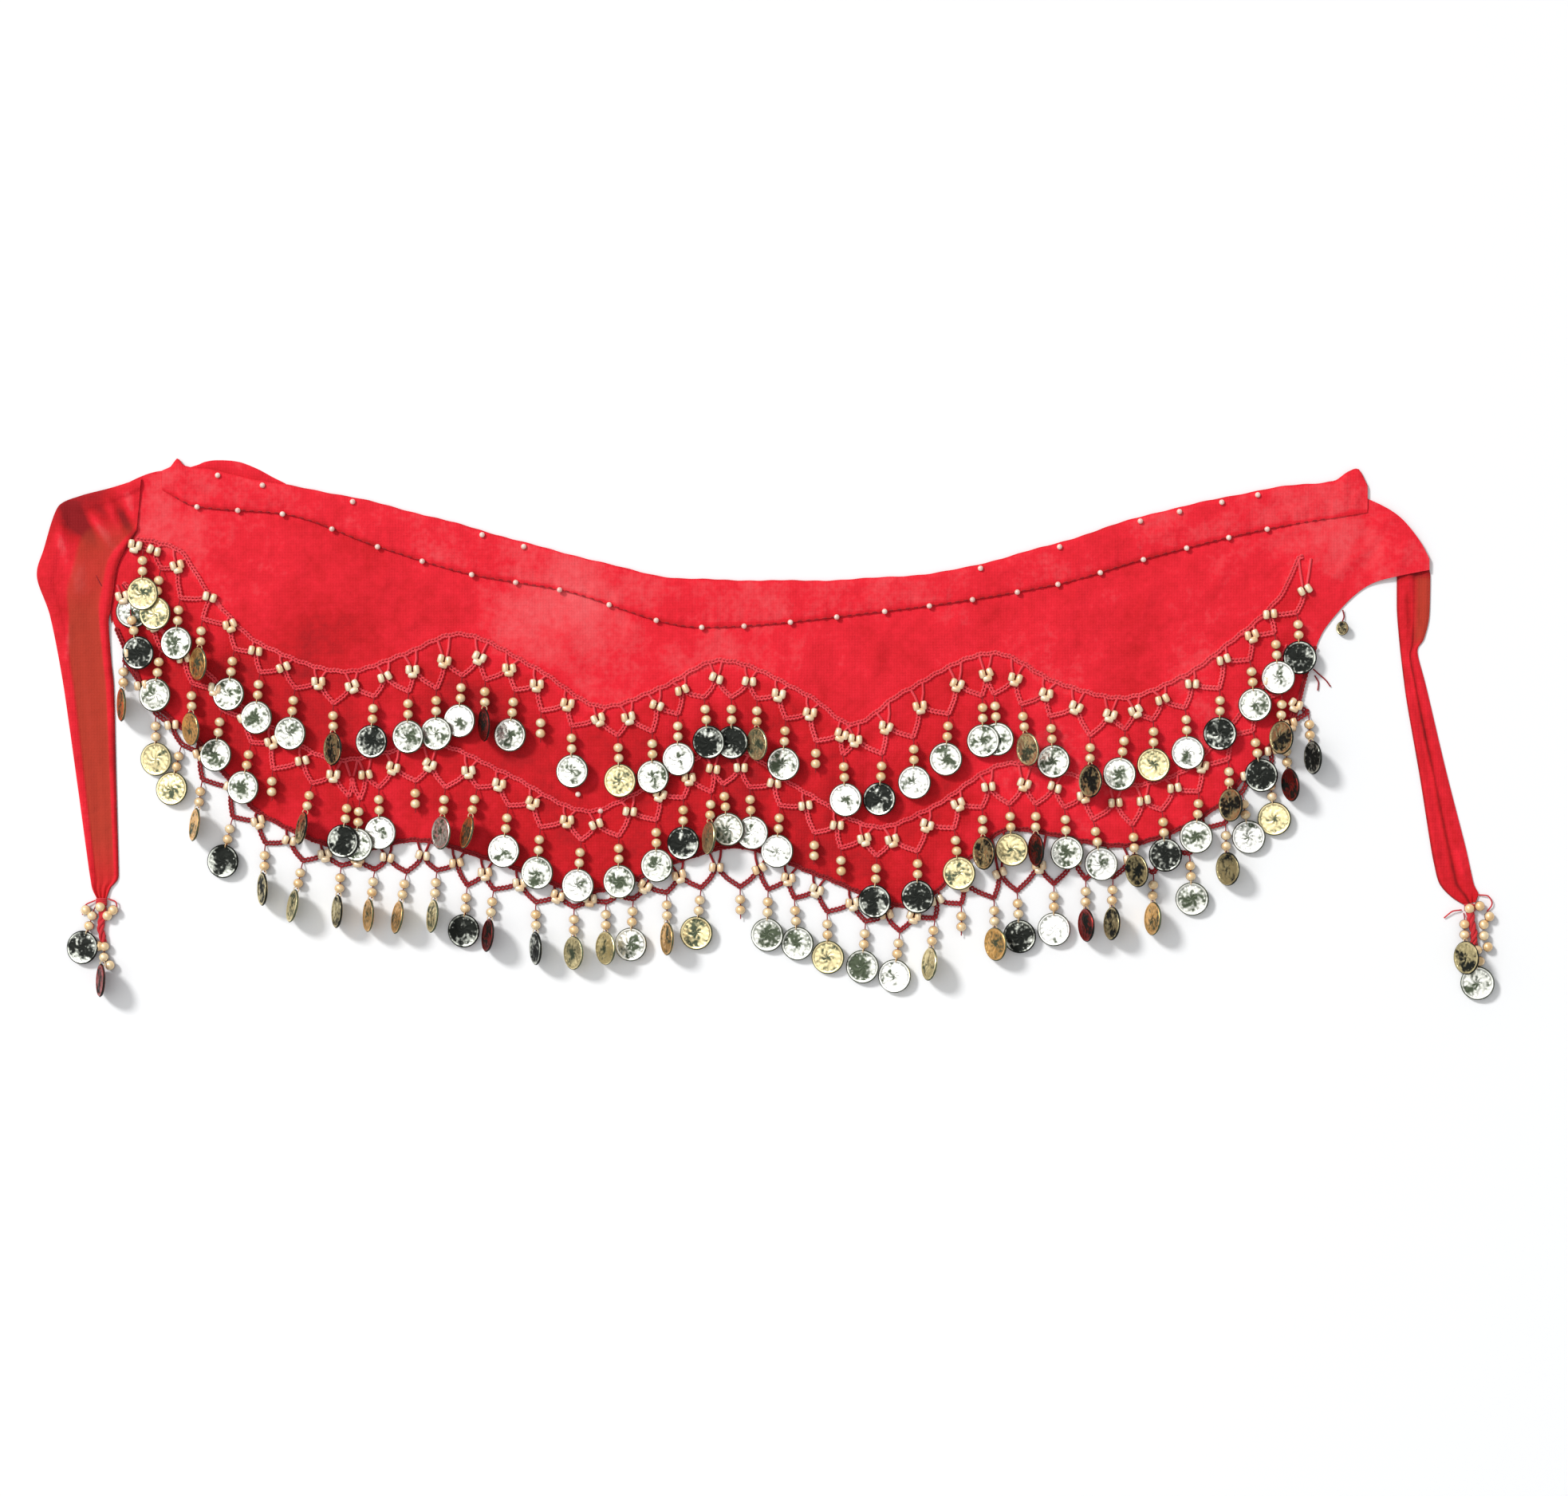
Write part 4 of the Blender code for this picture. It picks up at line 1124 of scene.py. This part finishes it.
def drop(place, heading, look, base, nod):
    """One drop below its place: its beads, its thread and ring, and its coin, or None if it has lost it."""
    ahead = np.array((math.sin(math.radians(heading)), -math.cos(math.radians(heading)), 0))
    aside = np.array((-ahead[1], ahead[0], 0))
    start = np.array((*place, 0))
    level = base + 0.9 * BEAD_RADIUS
    beads = []
    for reach in (BEAD_1_DROP, BEAD_2_DROP):
        middle = start + ahead * reach + (0, 0, level)
        beads.append(placed(round_bead, middle, (aside, np.cross(ahead, aside), ahead)))
    tail = BEAD_2_DROP + BEAD_RADIUS + (2.4 if look == "n" else 0.6)
    stops = ((0, base + 0.6), (2.5, level), (tail, level - 0.6))
    threads = [tube([start + ahead * reach + (0, 0, height) for reach, height in stops], THREAD_RADIUS, 5)]
    if look == "n":
        return beads, threads, [], None
    turn = math.radians(TURN[look])
    coin_level = base + COIN_LIFT + COIN_RADIUS * math.sin(turn) + COIN_THICK / 2
    middle = start + ahead * COIN_DROP + (0, 0, coin_level)
    across = aside * math.cos(turn) + np.array((0, 0, math.sin(turn)))
    face = np.array((0, 0, math.cos(turn))) - aside * math.sin(turn)
    tip = math.radians(nod)
    back = -ahead * math.cos(tip) + face * math.sin(tip)
    face = face * math.cos(tip) + ahead * math.sin(tip)
    ring_middle = start + ahead * (COIN_DROP - COIN_RADIUS + 0.3) + (0, 0, (middle[2] + level) / 2)
    ring_up = unit(middle - ring_middle)
    turns = np.linspace(0, 2 * math.pi, 13)
    ring_side = unit(np.cross(ring_up, across))
    ring = [ring_middle + RING_RADIUS * (math.cos(t) * ring_up + math.sin(t) * ring_side) for t in turns]
    return beads, threads, [tube(ring, RING_WIRE, 5)], (middle, (across, back, face))


round_bead = ball(BEAD_RADIUS, 0.92)
coin, coin_kept_and_shade = coin_shape()
bright_coin = coin_finish("plated_coin", (0.085, 0.105, 0.065, 1))
dark_coin = coin_finish("tarnished_coin", (0.018, 0.020, 0.017, 1))
COIN_FINISHES = {"coins": (bright_coin, "coin_metal"), "tarnished_coins": (dark_coin, "tarnished_coin")}


def struck(name, coins, finish, slot):
    """One piece from placed coins and their tints, and its material slot."""
    paint = {
        "tint": [(*TINTS[tint][:3], 1) for _, tint in coins],
        "patina": [TINTS[tint][3] for _, tint in coins],
        "kept": [coin_kept_and_shade for _ in coins],
    }
    return joined(name, [shape for shape, _ in coins], finish, paint), slot


def hang_drops(label, drops, node):
    """Makes the beads, threads and coins of a row or a tassel, and lets them stand for its solid."""
    beads, threads, rings = [], [], []
    coins = {"coins": [], "tarnished_coins": []}
    for place, heading, look, base, nod, tint in drops:
        new_beads, new_threads, new_rings, pose = drop(place, heading, look, base, nod)
        beads += new_beads
        threads += new_threads
        rings += new_rings
        if pose:
            kind = "tarnished_coins" if tint in TARNISHED else "coins"
            coins[kind].append((placed(coin, *pose), tint))
    made = [
        (joined(f"round_beads_{label}", beads, gold_bead), "gold_bead"),
        (joined(f"drop_threads_{label}", threads, deep_crochet), "crochet_thread"),
        (joined(f"coin_rings_{label}", rings, gold_bead), "gold_bead"),
    ]
    for kind, found in coins.items():
        if found:
            made.append(struck(f"{kind}_{label}", found, *COIN_FINISHES[kind]))
    for piece, slot in made:
        fitted(piece, slot, node)
    return [piece for piece, _ in made]


nod_noise = random.Random(9)
for number, row in enumerate(ROWS, 1):
    drops = []
    for (x, y, sway, look), tint in zip(row["drops"], row["tints"]):
        base = FLOOR_CLEAR if number == 3 else float(cloth_top(x, y)) + LAID_GAP + OVER_NET
        nod = nod_noise.uniform(-MOST_NOD, MOST_NOD)
        drops.append(((x, y - 1), sway, look, base, nod, tint))
    nets += hang_drops(f"row_{number}", drops, f"coin_row_{number}")

# The tassels hang from the gathered ends of the ties: a knot and a twisted tail of the same cloth, loops
# of thread, a few more beads, and two drops each.
KNOT_LEVEL = 2.3
STRANDS = 3
STRAND_TWIST = 3.4
STRAND_SPREAD = 1.3
STRAND_RADII = (1.6, 0.9)
KNOT_RADIUS = 3.1
BAND_RADIUS = 0.6
LOOSE_THREAD = 0.45
TASSELS = (
    {
        "name": "tassel_left",
        "tail": ((-416, -108), (-415.2, -116), (-416.4, -124), (-414.6, -133)),
        "beads": (
            (-425.5, -113), (-416.5, -111), (-412, -116.5),
            (-408.5, -113), (-417.5, -135.5), (-410.5, -147.5),
        ),
        "drops": (((-419.6, -110), -17, "f", "d"), ((-413.6, -129), -2.8, "e", "r")),
        "loops": (
            ((-420, -107), (-426, -110), (-428, -116)),
            ((-412, -106), (-407, -108), (-406, -114)),
        ),
    },
    {
        "name": "tassel_right",
        "tail": ((441, -111.5), (441.8, -120), (443.6, -128), (443.2, -135)),
        "beads": (
            (440.5, -112), (447, -110.5), (453, -117), (449.5, -122),
            (449.5, -129), (452, -136), (443.5, -139), (447, -145),
        ),
        "drops": (((437.5, -115), 0, "o", "o"), ((445.5, -131.2), 0, "f", "s")),
        "loops": (
            ((446, -103.5), (452, -104), (455, -109), (452, -114)),
            ((436, -113), (431, -113.5), (425, -118)),
        ),
    },
)
twisted_cloth = thread_finish("twisted_tail_chiffon", (0.42, 0.005, 0.012, 1), (0.80, 0.045, 0.055, 1))
for tassel in TASSELS:
    side = tassel["name"].split("_")[1]
    at, (tail_x, tail_y) = through_rows(tassel["tail"], 26)
    tail = []
    for strand in range(STRANDS):
        turn = at * STRAND_TWIST + strand * 2 * math.pi / STRANDS
        level = KNOT_LEVEL + 0.2 + 0.8 * np.sin(turn)
        path = np.stack([tail_x + STRAND_SPREAD * np.cos(turn), tail_y, level], 1)
        tail.append(tube(path, np.linspace(*STRAND_RADII, len(at)), 8))
    knot_x, knot_y = tassel["tail"][0]
    turns = np.linspace(0, 2 * math.pi, 17)
    around, aloft = KNOT_RADIUS * np.cos(turns), np.sin(turns)
    for band in np.linspace(-1.6, 1.6, 4):
        path = np.stack([knot_x + around, knot_y + band + 0.4 * aloft, KNOT_LEVEL + 1.7 * aloft], 1)
        tail.append(tube(path, BAND_RADIUS, 6))
    tail.append(placed(ball(2.6, 0.8), (knot_x, knot_y, KNOT_LEVEL)))
    for loop in tassel["loops"]:
        at, (loop_x, loop_y) = through_rows(loop, 14)
        rise = 1.2 + 1.2 * np.sin(math.pi * at / at[-1])
        tail.append(tube(np.stack([loop_x, loop_y, rise], 1), LOOSE_THREAD, 6))
    fitted(joined(f"{side}_tassel_knot", tail, twisted_cloth), "crochet_thread", tassel["name"])
    beads = [placed(round_bead, (x, y, BEAD_RADIUS + 0.2)) for x, y in tassel["beads"]]
    fitted(joined(f"{side}_tassel_beads", beads, gold_bead), "gold_bead", tassel["name"])
    drops = [(*place_and_look, FLOOR_CLEAR, 0.0, tint) for *place_and_look, tint in tassel["drops"]]
    hang_drops(f"{side}_tassel", drops, tassel["name"])

# A few loose things finish it: a small olive coin on a thread below the right shoulder, a silver coin
# that has slipped half under the first ones by the left tie, and stray ends of crochet thread.
SMALL_COIN_SCALE = 0.42
SMALL_COIN_PLACE = (361, 63.5, 3.6)
SMALL_COIN_TURN = math.radians(38)
SLIPPED_PLACE = (-396.5, 74)
SLIPPED_LIFT = 0.9
STRAYS = (
    ((-403, 91, 3.4), (-401, 88, 3.0), (-398.5, 85.5, 2.6), (-397, 82.5, 2.6)),
    ((361.5, 75, 1.8), (362.4, 71, 1.2), (361, 67.5, 3.0)),
    ((343, 38, 1.6), (347, 34.5, 1.0), (351, 31, 0.9), (354, 27, 0.8)),
    ((344, 34, 1.4), (346.5, 29, 0.9), (346, 24.5, 0.8)),
    ((-420.5, 99.5, 2.3), (-417, 92, 2.3), (-412, 84, 2.3), (-409.5, 67, 1.4)),
)
cosine, sine = math.cos(SMALL_COIN_TURN), math.sin(SMALL_COIN_TURN)
small_axes = ((cosine, 0, sine), (0, 1, 0), (-sine, 0, cosine))
small_coin = placed((coin[0] * SMALL_COIN_SCALE, coin[1]), SMALL_COIN_PLACE, small_axes)
slipped_level = float(cloth_top(*SLIPPED_PLACE)) + LAID_GAP + SLIPPED_LIFT
slipped_coin = placed(coin, (*SLIPPED_PLACE, slipped_level))
strays = [tube(np.stack(through_rows(stray, 16)[1], 1), LOOSE_THREAD, 6) for stray in STRAYS]
fitted(*struck("small_shoulder_coin", [(small_coin, "o")], *COIN_FINISHES["tarnished_coins"]))
fitted(*struck("slipped_silver_coin", [(slipped_coin, "s")], *COIN_FINISHES["coins"]))
fitted(joined("stray_threads", strays, deep_crochet), "crochet_thread")
